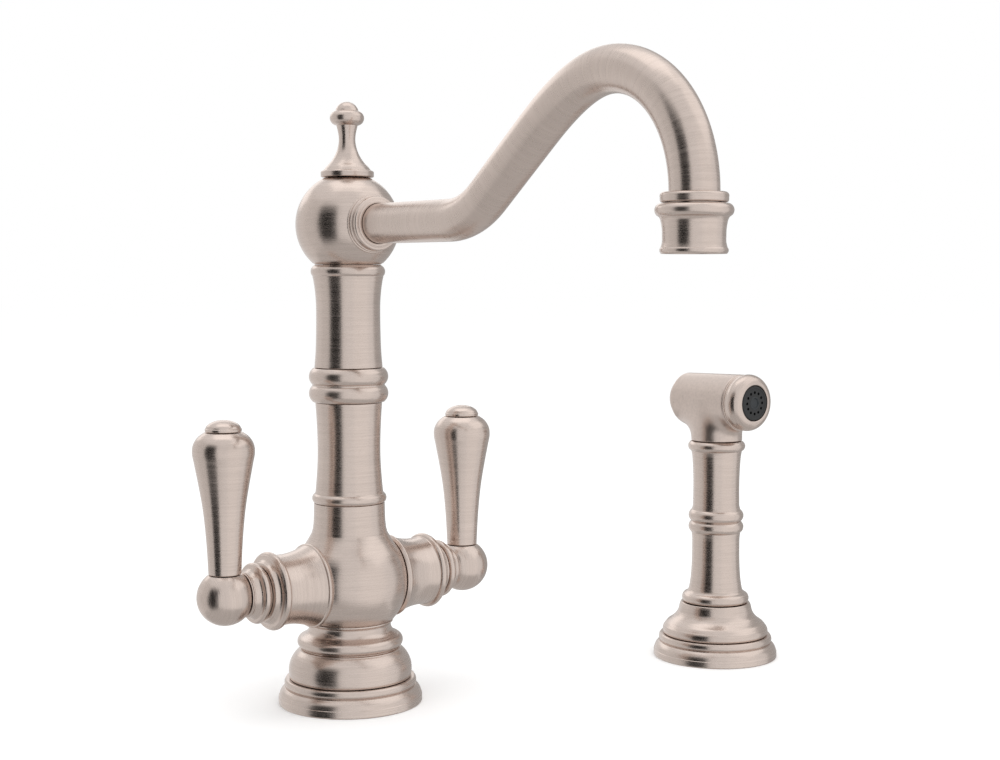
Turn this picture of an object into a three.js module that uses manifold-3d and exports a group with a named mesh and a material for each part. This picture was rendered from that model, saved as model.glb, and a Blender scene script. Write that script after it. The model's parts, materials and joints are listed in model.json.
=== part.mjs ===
// A two-handle kitchen faucet with a turned column, a swivelling spout on a ball hub and a side spray.
//
// Millimetres, +Z up. The origin is the centre of the column's foot on the deck. The handles lie
// along X, with the right handle at +X, and the spout reaches out along -Y, towards the user.

import * as THREE from 'three';
import { mergeVertices } from 'three/addons/utils/BufferGeometryUtils.js';
import Module from 'manifold-3d';

const wasm = await Module();
wasm.setup();

// ---------------------------------------------------------------------------------------------
// Driving dimensions
// ---------------------------------------------------------------------------------------------

// Clearances
const seamGap = 0.3; // between pieces that stand face to face
const fitGap = 0.3; // around a fixed piece in its bore
const runningGap = 0.4; // around and under a piece that turns or slides

// Facets of round pieces
const wideFacets = 26;
const middleFacets = 20;
const slimFacets = 16;
const innerFacets = 12;
const holeFacets = 8;
const bowSteps = 2;
const beadSteps = 4;
const ballSteps = 8;
const squareFacets = 4;

// Column foot on the deck
const footRadius = 35.7;
const footRimHeight = 3.9;
const footTierRadius = 33.2;
const footTierHeight = 8.3;
const footTopRadius = 32.1;
const footHeight = 12.6;
const footBore = 24;
const gasketThickness = 1.5;
const gasketInnerRadius = 26;
const gasketOuterRadius = 31;
const footRounding = 0.6;

// Foot plate with the water ports
const plateHeight = 6;
const portRadius = 3.5;
const portOffset = 11.5;

// Pedestal
const pedestalHeight = 28.2;
const pedestalFootRadius = 29.6;
const pedestalFootRise = 3; // height at which the dome is widest
const pedestalDomeRadius = 30.6;
const pedestalDomeHeight = 15.2;
const pedestalDomeTopRadius = 24.9;
const pedestalDomeRise = 1.3;
const pedestalBeadRadius = 24.3;
const pedestalBeadHeight = 20.9;
const pedestalBeadRise = 1.7;
const pedestalNeckRadius = 20.3;
const pedestalNeckHeight = 26.2;
const pedestalTopRadius = 21.3;

// Valve body: a sphere on a shank, with a collar above it and a seat for each handle
const shankRadius = 17;
const bodySphereRadius = 28.9;
const bodySphereHeight = 19.5; // centre above the seam on the pedestal
const bodyShoulderHeight = 37.6;
const bodyCollarHeight = 44.8;
const bodyCollarRadius = 18.4;
const bodyTopRadius = 17.5;
const bodyHeight = 58.6;
const bodyCoveRise = 1.1;
const bodyWaistRise = 0.3;
const mixingBore = 6.2;
const mixingDepth = 4;
const seatOffset = 21.6; // flat seat of each handle, from the column's axis
const cartridgeBore = 9.3;
const cartridgeSeatOffset = 9.5;
const outletPortRadius = 4;
const sprayPortDrop = 2; // spray outlet below the handle axis
const sprayPortRadius = 3;

// Lower column
const lowerColumnHeight = 49.8;
const columnRingRadius = 17.3;
const columnRingHeight = 4.8;
const columnRingRise = 1.1;
const lowerColumnFootRadius = 16.7;
const lowerColumnTopRadius = 16.3;
const columnWaistRise = 0.9;
const columnWaistSteps = 5;
const columnLipHeight = 0.8;

// Twin ring coupling
const couplingEdgeRadius = 17.5;
const couplingWaistRadius = 17.9;
const couplingBeadHeight = 8;
const couplingWaistHeight = 0.7;
const couplingBeadRise = 1.8;

// Upper column
const upperColumnHeight = 50.3;
const upperColumnFootRadius = 16.7;
const upperColumnWaistHeight = 27;
const upperColumnWaistRadius = 15.75;
const upperColumnFlareHeight = 45.3;
const upperColumnFlareRadius = 17.4;
const upperColumnTopRadius = 16.6;
const upperColumnBeadRise = 1.3;
const upperColumnFootRise = 0.3;
const upperColumnFlareRise = 0.45;

// Waterway inside the column
const riserRadius = 8.3;
const riserBore = 6.8;
const riserSocketDepth = 22;
const riserInsertion = 3.4;
const diverterHeight = 13.6;
const diverterBore = 3.6;

// Swivel spindle
const spindleFlangeRadius = 12.5;
const spindleFlangeHeight = 12.1;
const spindleRadius = 9;
const spindleBore = 5.2;
const spindleStudRadius = 6;
const spindleStudLength = 6.4;
const spindleWindowRadius = 4;
const sealHeight = 2.2;
const sealDepth = 1.5;
const lowerSealHeight = 4.3; // groove floor above the hub's underside
const upperSealHeight = 26.7;
const washerHeight = 1.9;
const nutHeight = 3;
const nutRadius = 8.6;

// Ball hub
const hubRadius = 25.5;
const hubUnderside = 19.4; // flat underside below the ball's centre
const hubCrown = 22.9; // flat top above the ball's centre
const hubChamberRadius = 12.5;
const hubChamberBottom = 13.4; // above the underside
const hubChamberTop = 25;
const hubShoulderHeight = 31.9;
const hubShoulderThickness = 2.4;

// Finial
const finialBossLength = 4.1;
const finialFlangeRadius = 13.0;
const finialFlangeHeight = 3.1;
const finialSkirtRadius = 11.4;
const finialSkirtHeight = 4.7;
const finialWaistRadius = 5;
const finialWaistHeight = 13.5;
const finialNeckRadius = 4.3;
const finialNeckHeight = 18.3;
const finialThroatRadius = 5.7;
const finialThroatHeight = 24.8;
const finialBeadRise = 2.8;
const finialBeadTopRadius = 5.6;
const finialBeadTop = 32.2;
const finialHeight = 36.8;
const finialSkirtRise = 0.9;
const finialTipRise = 1.3;

// Spout
const spoutRadius = 9.6;
const spoutBore = 8.3;
const spoutInsertion = 13; // inner end from the column's axis
const spoutLevelLength = 86; // level run, from the column's axis
const spoutBendRadius = 46;
const spoutSlope = 37.3; // degrees
const spoutRampLength = 42.8;
const spoutCrownRun = 46;
const spoutCrownRise = 21.0;
const spoutRampHandle = 22;
const spoutCrownHandle = 14;
const spoutFallReach = 46.9;
const spoutFallDrop = 50;
const spoutTailLength = 8;
const spoutSteps = 34;
const spoutFacets = 12;
const spoutBoreFacets = 8;

// Spout collar on the hub
const spoutCollarRadius = 14;
const spoutCollarFaceRadius = 12.9;
const spoutCollarReach = 28.1; // outer face from the column's axis
const spoutCollarHollow = 0.1;
const spoutCollarRounding = 0.5;
const spoutSealThickness = 1.6;
const spoutSealWall = 1.4;

// Outlet
const outletCollarRadius = 12.65;
const outletCollarHeight = 3.9;
const outletCollarOverlap = 0.25; // collar's top above the end of the curve
const aeratorHeight = 18.9;
const aeratorBeadRadius = 12.6;
const aeratorBeadHeight = 5.6;
const aeratorBeadRise = 2.15;
const aeratorWaistRadius = 12.8;
const aeratorLipRadius = 12.9;
const aeratorLipHeight = 1.5;
const aeratorFlareRise = 0.95;
const aeratorInsertHeight = 10.7;
const aeratorInsertRecess = 1;
const aeratorWasherHeight = 2.3;
const aeratorWasherBore = 6.5;
const aeratorJetRadius = 2.2;
const aeratorJetOffset = 6;
const aeratorJetCount = 6;

// Handle valve sleeve, measured along its own axis from its seat
const sleeveFlangeRadius = 20.6;
const sleeveFlangeLength = 2.6;
const sleeveFlangeTopRadius = 19.8;
const sleeveBarrelLength = 21.4;
const sleeveBarrelRadius = 17.3;
const sleeveBarrelRise = 1.1;
const sleeveBeadEnd = 26.4;
const sleeveBeadEndRadius = 16.2;
const sleeveBeadRise = 1.9;
const sleeveLength = 28.7;
const sleeveNoseRadius = 13;
const sleeveNoseWall = 3.2;
const sleeveCavityLength = 22;

// Trim rings between the sleeve and the handle
const trimLength = 9.2;
const trimRootRadius = 12.6;
const trimBeadStart = 0.8;
const trimBeadEnd = 5.2;
const trimBeadRise = 2.2;
const trimNeckRadius = 11.4;
const trimNeckEndRadius = 10.6;
const trimNeckRise = 0.5;

// Ceramic cartridge
const cartridgeSealLength = 1.5;
const cartridgeFootLength = 9.4;
const cartridgeHeadRadius = 10.6;
const cartridgeHeadEnd = 21.8; // from the sleeve's seat
const cartridgeNoseRadius = 8.2;
const cartridgeTipRadius = 5.6;
const cartridgeNoseEnd = 34.6;
const cartridgeTipEnd = 37.9;
const discRadius = 7.1;
const discThickness = 2.6;
const discPortRadius = 1.8;
const discPortOffset = 3.8;
const stemRadius = 4;
const stemFootRadius = 6.6;
const stemFootLength = 2.6;

// Handle
const handleOffset = 69.4; // handle ball's centre from the column's axis
const handleBallRadius = 13.45;
const handleBallTop = 10.8; // flat under the lever above the ball's centre
const stemInsertion = 10.6; // stem's end past the ball's inner face
const leverStudRadius = 3.2;
const leverStudLength = 4.9;
const leverFootRadius = 7.75;
const leverMiddleHeight = 32;
const leverMiddleRadius = 10.15;
const leverShoulderHeight = 58.3;
const leverShoulderRadius = 14.65;
const leverTopRadius = 9.1;
const leverHeight = 67.3;
const leverFootRise = 0.5;
const leverBodyRise = 0.2;
const leverShoulderRise = 1.9;
const capRadius = 8.6;
const capEdgeHeight = 1.8;
const capHeight = 5.5;
const capRise = 1.5;
const capStudRadius = 2.6;
const capStudLength = 6;
const grubRadius = 2;

// Side spray: place on the deck
const sprayX = 213.2;
const sprayY = -44;

// Side spray: deck base
const sprayFootRadius = 34.1;
const sprayFootRimHeight = 3.7;
const sprayTierRadius = 31.6;
const sprayTierHeight = 8.4;
const sprayTierTopRadius = 30.5;
const sprayFootHeight = 12.5;
const sprayFootBore = 20;
const sprayPlateHeight = 4;
const sprayPlateBore = 9;

// Side spray: holder
const holderFootRadius = 28.0;
const holderWaistRadius = 29.2;
const holderWaistHeight = 1.6;
const holderShoulderHeight = 5;
const holderShoulderRadius = 27.8;
const holderNeckHeight = 12.4;
const holderNeckRadius = 20.7;
const holderTopRadius = 18.9;
const holderHeight = 17.6;
const holderCoveRise = 1.1;
const holderShoulderRise = 0.25;
const holderLipRise = 0.2;
const guideRadius = 15.2;
const guideBore = 12.6;

// Side spray: handset grip, heights above its seat on the holder
const spigotLength = 11;
const couplingRadius = 10.6;
const couplingLength = 12;
const couplingSocketDepth = 6;
const couplingBore = 4;
const gripSeatRadius = 17.0;
const gripFootHeight = 5.4;
const gripFootRadius = 16.0;
const gripFootRise = 1.9;
const gripCoveHeight = 9;
const gripCoveRadius = 14.5;
const gripLowerHeight = 36.4;
const gripLowerRadius = 13.15;
const gripLowerRise = 0.35;
const gripRingRootRadius = 13.6;
const gripRingStart = 38.9;
const gripRingHeight = 6.35;
const gripRingRise = 1.5;
const gripUpperStart = 56;
const gripUpperRadius = 12.75;
const gripUpperEnd = 83.2;
const gripUpperEndRadius = 13.65;
const gripTopRingStart = 84.8;
const gripTopRadius = 14.0;
const gripTopRingRise = 1.6;
const gripHeight = 90;
const gripBore = 6;

// Side spray: head, along Y from the grip's axis
const headRise = 22.1; // head's axis above the neck's foot
const headRadius = 15;
const headRearRadius = 13.9;
const headFront = 18.2;
const headRear = 22.6;
const headNeckRadius = 14.0;
const headNeckStraight = 3.5;
const headNeckHeight = 14;
const headNeckWidth = 28.6;
const headFlareRadius = 18.4;
const headFlareHeight = 9.4;
const headFlareRise = 1.3;
const headRearRounding = 0.8;
const headRearChamfer = 0.4;
const bezelRadius = 15.2;
const bezelFront = 28.9;
const bezelRounding = 7.6;
const bezelRise = 2.2;
const bezelSpigotRadius = 11.7;
const bezelSpigotLength = 6.5;
const nozzleRadius = 9.5;
const nozzleLength = 6.4;
const nozzleRecess = 0.3;
const nozzleJetRadius = 0.75;
const nozzleJetOffset = 6.4;
const nozzleJetCount = 12;
const nozzleCentreRadius = 2.8;
const nozzleCentreDepth = 0.6;
const jetFacets = 6;

// Side spray: button
const buttonRadius = 12.3;
const buttonLength = 6.3;
const buttonRear = 29.6;
const buttonRounding = 5.2;
const buttonRise = 2.3;
const buttonTravel = 3.5;
const buttonStemRadius = 2.9;
const buttonStemLength = 19;
const springRadius = 5;
const springWireRadius = 0.45;
const springPocketRadius = 6.4;
const springPocketDepth = 5.2;
const springTurns = 4;
const springStepsPerTurn = 8;
const springWireFacets = 5;

// ---------------------------------------------------------------------------------------------
// Places worked out from the driving dimensions
// ---------------------------------------------------------------------------------------------

const pedestalBottom = footHeight + seamGap;
const bodyBottom = pedestalBottom + pedestalHeight + seamGap;
const handleHeight = bodyBottom + bodySphereHeight;
const bodyTop = bodyBottom + bodyHeight;
const lowerColumnBottom = bodyTop + seamGap;
const couplingBottom = lowerColumnBottom + lowerColumnHeight + seamGap;
const couplingHeight = 2 * couplingBeadHeight + couplingWaistHeight;
const upperColumnBottom = couplingBottom + couplingHeight + seamGap;
const upperColumnTop = upperColumnBottom + upperColumnHeight;
const hubBottom = upperColumnTop + runningGap;
const hubCentre = hubBottom + hubUnderside;
const hubTop = hubCentre + hubCrown;
const spoutAxis = hubCentre;
const riserSleeveBore = riserRadius + fitGap;
const diverterBottom = bodyTop - riserSocketDepth + seamGap;
const riserBottom = diverterBottom + diverterHeight + seamGap;
const spindleFlangeTop = upperColumnTop - seamGap;
const spindleFlangeBottom = spindleFlangeTop - spindleFlangeHeight;
const riserTop = spindleFlangeBottom + riserInsertion;
const washerBottom = spindleFlangeTop + seamGap;
const washerTop = washerBottom + washerHeight;
const hubBore = spindleRadius + runningGap;
const hubShoulderBottom = hubBottom + hubShoulderHeight;
const hubShoulderTop = hubShoulderBottom + hubShoulderThickness;
const spindleTop = hubShoulderBottom - runningGap;
const studTop = spindleTop + spindleStudLength;
const nutBottom = hubShoulderTop + runningGap;
const finialBottom = hubTop + seamGap;

const sleeveSeat = seatOffset + seamGap;
const trimSeat = sleeveSeat + sleeveLength + seamGap;
const handleFace = trimSeat + trimLength + runningGap;
const cartridgeSealSeat = cartridgeSeatOffset + seamGap;
const cartridgeSeat = cartridgeSealSeat + cartridgeSealLength + seamGap;
const turningDiscSeat = cartridgeSeat + discThickness + seamGap;
const stemFootSeat = turningDiscSeat + discThickness + seamGap;
const stemShoulder = stemFootSeat + stemFootLength;
const cartridgeBodyRadius = cartridgeBore - fitGap;
const discBore = discRadius + fitGap;
const stemBore = stemRadius + runningGap;
const stemEnd = handleFace + stemInsertion;
const leverBottom = handleHeight + handleBallTop + seamGap;
const leverTop = leverBottom + leverHeight;
const capBottom = leverTop + seamGap;

const sprayHolderBottom = sprayFootHeight + seamGap;
const sprayHolderTop = sprayHolderBottom + holderHeight;
const gripBottom = sprayHolderTop + runningGap;
const gripTop = gripBottom + gripHeight;
const headBottom = gripTop + seamGap;
const headHeight = headBottom + headRise;
const guideBottom = sprayPlateHeight + runningGap;
const spigotRadius = guideBore - runningGap;
const nozzleFront = bezelFront - nozzleRecess;
const buttonFront = buttonRear - buttonLength;
const buttonWell = buttonFront - buttonTravel - runningGap;
const springBed = buttonWell - springPocketDepth;

// ---------------------------------------------------------------------------------------------
// Finishes
// ---------------------------------------------------------------------------------------------

const nickel = { color: 0xc6b9b0, roughness: 0.36, metalness: 1 };
const brass = { color: 0xb99a55, roughness: 0.4, metalness: 1 };
const stainless = { color: 0xb4b6b8, roughness: 0.3, metalness: 1 };
const rubber = { color: 0x1c1c1d, roughness: 0.8, metalness: 0 };
const ceramic = { color: 0xe9e6df, roughness: 0.25, metalness: 0 };
const darkPlastic = { color: 0x24262a, roughness: 0.5, metalness: 0 };
const palePlastic = { color: 0xd9d9d6, roughness: 0.5, metalness: 0 };

// ---------------------------------------------------------------------------------------------
// Shape helpers
// ---------------------------------------------------------------------------------------------

// The profile of a turned piece: radius and height, drawn up the outside and down the inside.
class Outline {
  constructor(radius, height) {
    this.points = [new THREE.Vector2(radius, height)];
  }

  get last() {
    return this.points[this.points.length - 1];
  }

  // A straight stretch.
  to(radius, height) {
    this.points.push(new THREE.Vector2(radius, height));
    return this;
  }

  // An arc that stands `rise` to the right of the straight way, which is outwards on the way up.
  bow(radius, height, rise, steps = bowSteps) {
    const from = this.last.clone();
    const end = new THREE.Vector2(radius, height);
    const along = end.clone().sub(from);
    const halfChord = along.length() / 2;
    along.normalize();
    const aside = new THREE.Vector2(along.y, -along.x);
    const halfAngle = 2 * Math.atan2(rise, halfChord);
    const arcRadius = halfChord / Math.sin(halfAngle);
    const centre = from.clone().lerp(end, 0.5).addScaledVector(aside, -arcRadius * Math.cos(halfAngle));
    for (let step = 1; step < steps; step += 1) {
      const angle = halfAngle * (2 * step / steps - 1);
      const point = centre.clone();
      point.addScaledVector(aside, arcRadius * Math.cos(angle));
      point.addScaledVector(along, arcRadius * Math.sin(angle));
      this.points.push(point);
    }
    this.points.push(end);
    return this;
  }

  // A stretch of a sphere about the axis, up or down to a height.
  ball(ballRadius, centre, height, steps) {
    const start = Math.asin((this.last.y - centre) / ballRadius);
    const end = Math.asin((height - centre) / ballRadius);
    for (let step = 1; step <= steps; step += 1) {
      const angle = start + (end - start) * step / steps;
      this.to(ballRadius * Math.cos(angle), centre + ballRadius * Math.sin(angle));
    }
    return this;
  }
}

// The radius of a sphere about the axis at a height above or below its centre.
function radiusOnBall(ballRadius, offset) {
  return Math.sqrt(ballRadius * ballRadius - offset * offset);
}

// A closed triangle mesh with shared corners, no empty triangles and its faces outwards.
function tidyGeometry(geometry) {
  const bare = geometry.clone();
  bare.deleteAttribute('normal');
  bare.deleteAttribute('uv');
  const merged = mergeVertices(bare, 1e-5);
  const index = merged.getIndex().array;
  const kept = [];
  let volume = 0;
  const corners = [new THREE.Vector3(), new THREE.Vector3(), new THREE.Vector3()];
  for (let i = 0; i < index.length; i += 3) {
    const face = [index[i], index[i + 1], index[i + 2]];
    if (face[0] === face[1] || face[1] === face[2] || face[2] === face[0]) continue;
    corners.forEach((corner, k) => corner.fromBufferAttribute(merged.getAttribute('position'), face[k]));
    volume += corners[0].dot(corners[1].clone().cross(corners[2]));
    kept.push(face);
  }
  const outward = volume > 0 ? kept : kept.map(([a, b, c]) => [a, c, b]);
  merged.setIndex(outward.flat());
  return merged;
}

function toSolid(geometry) {
  const tidy = tidyGeometry(geometry);
  const mesh = new wasm.Mesh({
    numProp: 3,
    vertProperties: new Float32Array(tidy.getAttribute('position').array),
    triVerts: new Uint32Array(tidy.getIndex().array),
  });
  return new wasm.Manifold(mesh);
}

function toGeometry(solid) {
  const mesh = solid.getMesh();
  const geometry = new THREE.BufferGeometry();
  geometry.setAttribute('position', new THREE.BufferAttribute(mesh.vertProperties, 3));
  geometry.setIndex(new THREE.BufferAttribute(mesh.triVerts, 1));
  geometry.computeVertexNormals();
  return geometry;
}

// Turns a geometry made about +Z so that its axis lies along another one.
function aim(geometry, axis) {
  if (axis === 'x') geometry.rotateY(Math.PI / 2);
  if (axis === '-x') geometry.rotateY(-Math.PI / 2);
  if (axis === 'y') geometry.rotateX(-Math.PI / 2);
  if (axis === '-y') geometry.rotateX(Math.PI / 2);
  if (axis === '-z') geometry.rotateX(Math.PI);
  return geometry;
}

// A solid turned from an outline, with its axis through `at`.
function turned(outline, facets, axis = 'z', at = [0, 0, 0]) {
  const points = outline.points.slice();
  const open = points[0].x > 0 || outline.last.x > 0;
  if (open) points.push(points[0].clone());
  const geometry = new THREE.LatheGeometry(points, facets);
  geometry.rotateX(Math.PI / 2);
  aim(geometry, axis);
  geometry.translate(...at);
  return toSolid(geometry);
}

// A plain round bar from one distance along its axis to another.
function bar(radius, from, to, facets = holeFacets, axis = 'z', at = [0, 0, 0]) {
  const outline = new Outline(0, from).to(radius, from).to(radius, to).to(0, to);
  return turned(outline, facets, axis, at);
}

// A plain ring.
function ring(inner, outer, from, to, facets, axis = 'z', at = [0, 0, 0]) {
  const outline = new Outline(inner, from).to(outer, from).to(outer, to).to(inner, to);
  return turned(outline, facets, axis, at);
}

const faucet = new THREE.Group();

function place(name, solid, finish, group = faucet) {
  const mesh = new THREE.Mesh(toGeometry(solid), new THREE.MeshStandardMaterial(finish));
  mesh.name = name;
  group.add(mesh);
  return mesh;
}

// ---------------------------------------------------------------------------------------------
// Foot and pedestal
// ---------------------------------------------------------------------------------------------

function makeFootFlange() {
  const recess = gasketThickness + seamGap;
  const outline = new Outline(footBore, recess).to(gasketOuterRadius + fitGap, recess);
  outline.to(gasketOuterRadius + fitGap, 0).to(footRadius, 0).to(footRadius, footRimHeight);
  outline.bow(footTierRadius, footTierHeight, footRounding);
  outline.bow(footTopRadius, footHeight, footRounding).to(footBore, footHeight);
  return turned(outline, wideFacets);
}

// A low round plate with one hole for each water port.
function makeFootPlate() {
  let plate = bar(footBore - fitGap, 0, plateHeight, middleFacets);
  for (const [x, y] of [[-portOffset, 0], [portOffset, 0], [0, portOffset]]) {
    plate = plate.subtract(bar(portRadius, -plateHeight, 2 * plateHeight, holeFacets, 'z', [x, y, 0]));
  }
  return plate;
}

function makePedestal() {
  const bore = shankRadius + fitGap;
  const base = pedestalBottom;
  const outline = new Outline(bore, base).to(pedestalFootRadius, base);
  outline.to(pedestalDomeRadius, base + pedestalFootRise);
  outline.bow(pedestalDomeTopRadius, base + pedestalDomeHeight, pedestalDomeRise);
  outline.to(pedestalBeadRadius, base + pedestalDomeHeight);
  outline.bow(pedestalBeadRadius, base + pedestalBeadHeight, pedestalBeadRise, beadSteps);
  outline.to(pedestalNeckRadius, base + pedestalNeckHeight);
  outline.to(pedestalTopRadius, base + pedestalHeight).to(bore, base + pedestalHeight);
  return turned(outline, wideFacets);
}

place('foot_flange', makeFootFlange(), nickel);
place('foot_gasket', ring(gasketInnerRadius, gasketOuterRadius, 0, gasketThickness, middleFacets), rubber);
place('foot_plate', makeFootPlate(), brass);
place('pedestal', makePedestal(), nickel);

// ---------------------------------------------------------------------------------------------
// Valve body
// ---------------------------------------------------------------------------------------------

function makeValveBody() {
  const shankBottom = plateHeight + seamGap;
  const sphereFoot = radiusOnBall(bodySphereRadius, bodySphereHeight);
  const outline = new Outline(0, shankBottom).to(shankRadius, shankBottom).to(shankRadius, bodyBottom);
  outline.to(sphereFoot, bodyBottom);
  outline.ball(bodySphereRadius, handleHeight, bodyBottom + bodyShoulderHeight, ballSteps);
  outline.bow(bodyCollarRadius, bodyBottom + bodyCollarHeight, -bodyCoveRise);
  outline.bow(bodyTopRadius, bodyTop, -bodyWaistRise);
  outline.to(riserSleeveBore, bodyTop).to(riserSleeveBore, bodyTop - riserSocketDepth);
  outline.to(mixingBore, bodyTop - riserSocketDepth);
  outline.to(mixingBore, handleHeight - mixingDepth).to(0, handleHeight - mixingDepth);
  let body = turned(outline, wideFacets);
  const handleAxis = [0, 0, handleHeight];
  const beyond = 2 * bodySphereRadius;
  const portEnd = cartridgeSeatOffset + seamGap;
  for (const side of ['x', '-x']) {
    body = body.subtract(bar(beyond, seatOffset, beyond, squareFacets, side, handleAxis));
    body = body.subtract(bar(cartridgeBore, cartridgeSeatOffset, beyond, innerFacets, side, handleAxis));
    body = body.subtract(bar(outletPortRadius, 0, portEnd, holeFacets, side, handleAxis));
  }
  for (const x of [-portOffset, portOffset]) {
    body = body.subtract(bar(portRadius, 0, handleHeight - cartridgeBore / 2, holeFacets, 'z', [x, 0, 0]));
  }
  const sprayPort = handleHeight - sprayPortDrop;
  body = body.subtract(bar(portRadius, 0, sprayPort, holeFacets, 'z', [0, portOffset, 0]));
  return body.subtract(bar(sprayPortRadius, 0, portOffset, holeFacets, 'y', [0, 0, sprayPort]));
}

place('valve_body', makeValveBody(), nickel);

// ---------------------------------------------------------------------------------------------
// Column
// ---------------------------------------------------------------------------------------------

function makeLowerColumn() {
  const base = lowerColumnBottom;
  const top = base + lowerColumnHeight;
  const outline = new Outline(riserSleeveBore, base).to(columnRingRadius, base);
  outline.bow(columnRingRadius, base + columnRingHeight, columnRingRise, beadSteps);
  outline.to(lowerColumnFootRadius, base + columnRingHeight + columnLipHeight);
  outline.bow(lowerColumnTopRadius, top, -columnWaistRise, columnWaistSteps).to(riserSleeveBore, top);
  return turned(outline, middleFacets);
}

function makeTwinRings() {
  const base = couplingBottom;
  const waist = base + couplingBeadHeight;
  const top = base + couplingHeight;
  const outline = new Outline(riserSleeveBore, base).to(couplingEdgeRadius, base);
  outline.bow(couplingWaistRadius, waist, couplingBeadRise, beadSteps);
  outline.to(couplingWaistRadius, waist + couplingWaistHeight);
  outline.bow(couplingEdgeRadius, top, couplingBeadRise, beadSteps).to(riserSleeveBore, top);
  return turned(outline, middleFacets);
}

function makeUpperColumn() {
  const base = upperColumnBottom;
  const counterbore = spindleFlangeRadius + fitGap;
  const ledge = spindleFlangeBottom - seamGap;
  const outline = new Outline(riserSleeveBore, base).to(upperColumnFootRadius, base);
  outline.bow(upperColumnWaistRadius, base + upperColumnWaistHeight, -upperColumnFootRise);
  outline.bow(upperColumnFlareRadius, base + upperColumnFlareHeight, -upperColumnFlareRise);
  outline.bow(upperColumnTopRadius, upperColumnTop, upperColumnBeadRise, beadSteps);
  outline.to(counterbore, upperColumnTop).to(counterbore, ledge).to(riserSleeveBore, ledge);
  return turned(outline, middleFacets);
}

place('lower_column', makeLowerColumn(), nickel);
place('twin_ring_coupling', makeTwinRings(), nickel);
place('upper_column', makeUpperColumn(), nickel);

// ---------------------------------------------------------------------------------------------
// Waterway and swivel
// ---------------------------------------------------------------------------------------------

// The grooves and the seals in them share these places.
const sealPlaces = [lowerSealHeight, upperSealHeight].map((height) => hubBottom + height);
const sealGrooveRadius = spindleRadius - sealDepth;

function makeSwivelSpindle() {
  const socket = riserRadius + fitGap;
  const windowTop = spoutAxis + spindleWindowRadius;
  const outline = new Outline(0, windowTop).to(spindleBore, windowTop);
  outline.to(spindleBore, riserTop + seamGap).to(socket, riserTop + seamGap).to(socket, spindleFlangeBottom);
  outline.to(spindleFlangeRadius, spindleFlangeBottom).to(spindleFlangeRadius, spindleFlangeTop);
  outline.to(spindleRadius, spindleFlangeTop);
  for (const groove of sealPlaces) {
    outline.to(spindleRadius, groove).to(sealGrooveRadius, groove);
    outline.to(sealGrooveRadius, groove + sealHeight).to(spindleRadius, groove + sealHeight);
  }
  outline.to(spindleRadius, spindleTop).to(spindleStudRadius, spindleTop);
  outline.to(spindleStudRadius, studTop).to(0, studTop);
  let spindle = turned(outline, innerFacets);
  for (const axis of ['x', 'y']) {
    const window = bar(spindleWindowRadius, -hubRadius, hubRadius, holeFacets, axis, [0, 0, spoutAxis]);
    spindle = spindle.subtract(window);
  }
  return spindle;
}

function makeSpindleSeal(groove) {
  const slack = fitGap / 2;
  const inner = sealGrooveRadius + slack;
  return ring(inner, hubBore - slack, groove + slack, groove + sealHeight - slack, innerFacets);
}

place('riser_tube', ring(riserBore, riserRadius, riserBottom, riserTop, innerFacets), brass);
place(
  'diverter_cartridge',
  ring(diverterBore, riserRadius, diverterBottom, diverterBottom + diverterHeight, innerFacets),
  palePlastic,
);
place('swivel_spindle', makeSwivelSpindle(), brass);
place('spindle_seal_lower', makeSpindleSeal(sealPlaces[0]), rubber);
place('spindle_seal_upper', makeSpindleSeal(sealPlaces[1]), rubber);
place(
  'swivel_washer',
  ring(spindleRadius + fitGap, spindleFlangeRadius - fitGap, washerBottom, washerTop, innerFacets),
  palePlastic,
);
place(
  'swivel_nut',
  ring(spindleStudRadius + fitGap, nutRadius, nutBottom, nutBottom + nutHeight, innerFacets),
  stainless,
);

// ---------------------------------------------------------------------------------------------
// Ball hub, finial and spout
// ---------------------------------------------------------------------------------------------

const spoutHole = spoutRadius + fitGap;

function makeBallHub() {
  const chamberBottom = hubBottom + hubChamberBottom;
  const chamberTop = hubBottom + hubChamberTop;
  const washerPocket = washerTop + runningGap;
  const outline = new Outline(radiusOnBall(hubRadius, hubUnderside), hubBottom);
  outline.ball(hubRadius, hubCentre, hubTop, ballSteps);
  outline.to(hubBore, hubTop).to(hubBore, hubShoulderTop);
  outline.to(spindleStudRadius + runningGap, hubShoulderTop);
  outline.to(spindleStudRadius + runningGap, hubShoulderBottom).to(hubBore, hubShoulderBottom);
  outline.to(hubBore, chamberTop).to(hubChamberRadius, chamberTop).to(hubChamberRadius, chamberBottom);
  outline.to(hubBore, chamberBottom).to(hubBore, washerPocket);
  outline.to(spindleFlangeRadius, washerPocket).to(spindleFlangeRadius, hubBottom);
  const hub = turned(outline, wideFacets);
  const hole = bar(spoutHole, spindleRadius, 2 * hubRadius, spoutFacets, '-y', [0, 0, spoutAxis]);
  return hub.subtract(hole);
}

function makeFinial() {
  const base = finialBottom;
  const bossRadius = hubBore - fitGap;
  const outline = new Outline(0, base - finialBossLength).to(bossRadius, base - finialBossLength);
  outline.to(bossRadius, base).to(finialFlangeRadius, base);
  outline.to(finialFlangeRadius, base + finialFlangeHeight);
  outline.to(finialSkirtRadius, base + finialSkirtHeight);
  outline.bow(finialWaistRadius, base + finialWaistHeight, -finialSkirtRise);
  outline.to(finialNeckRadius, base + finialNeckHeight);
  outline.to(finialThroatRadius, base + finialThroatHeight);
  outline.bow(finialBeadTopRadius, base + finialBeadTop, finialBeadRise, beadSteps);
  outline.bow(0, base + finialHeight, finialTipRise);
  return turned(outline, slimFacets);
}

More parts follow.
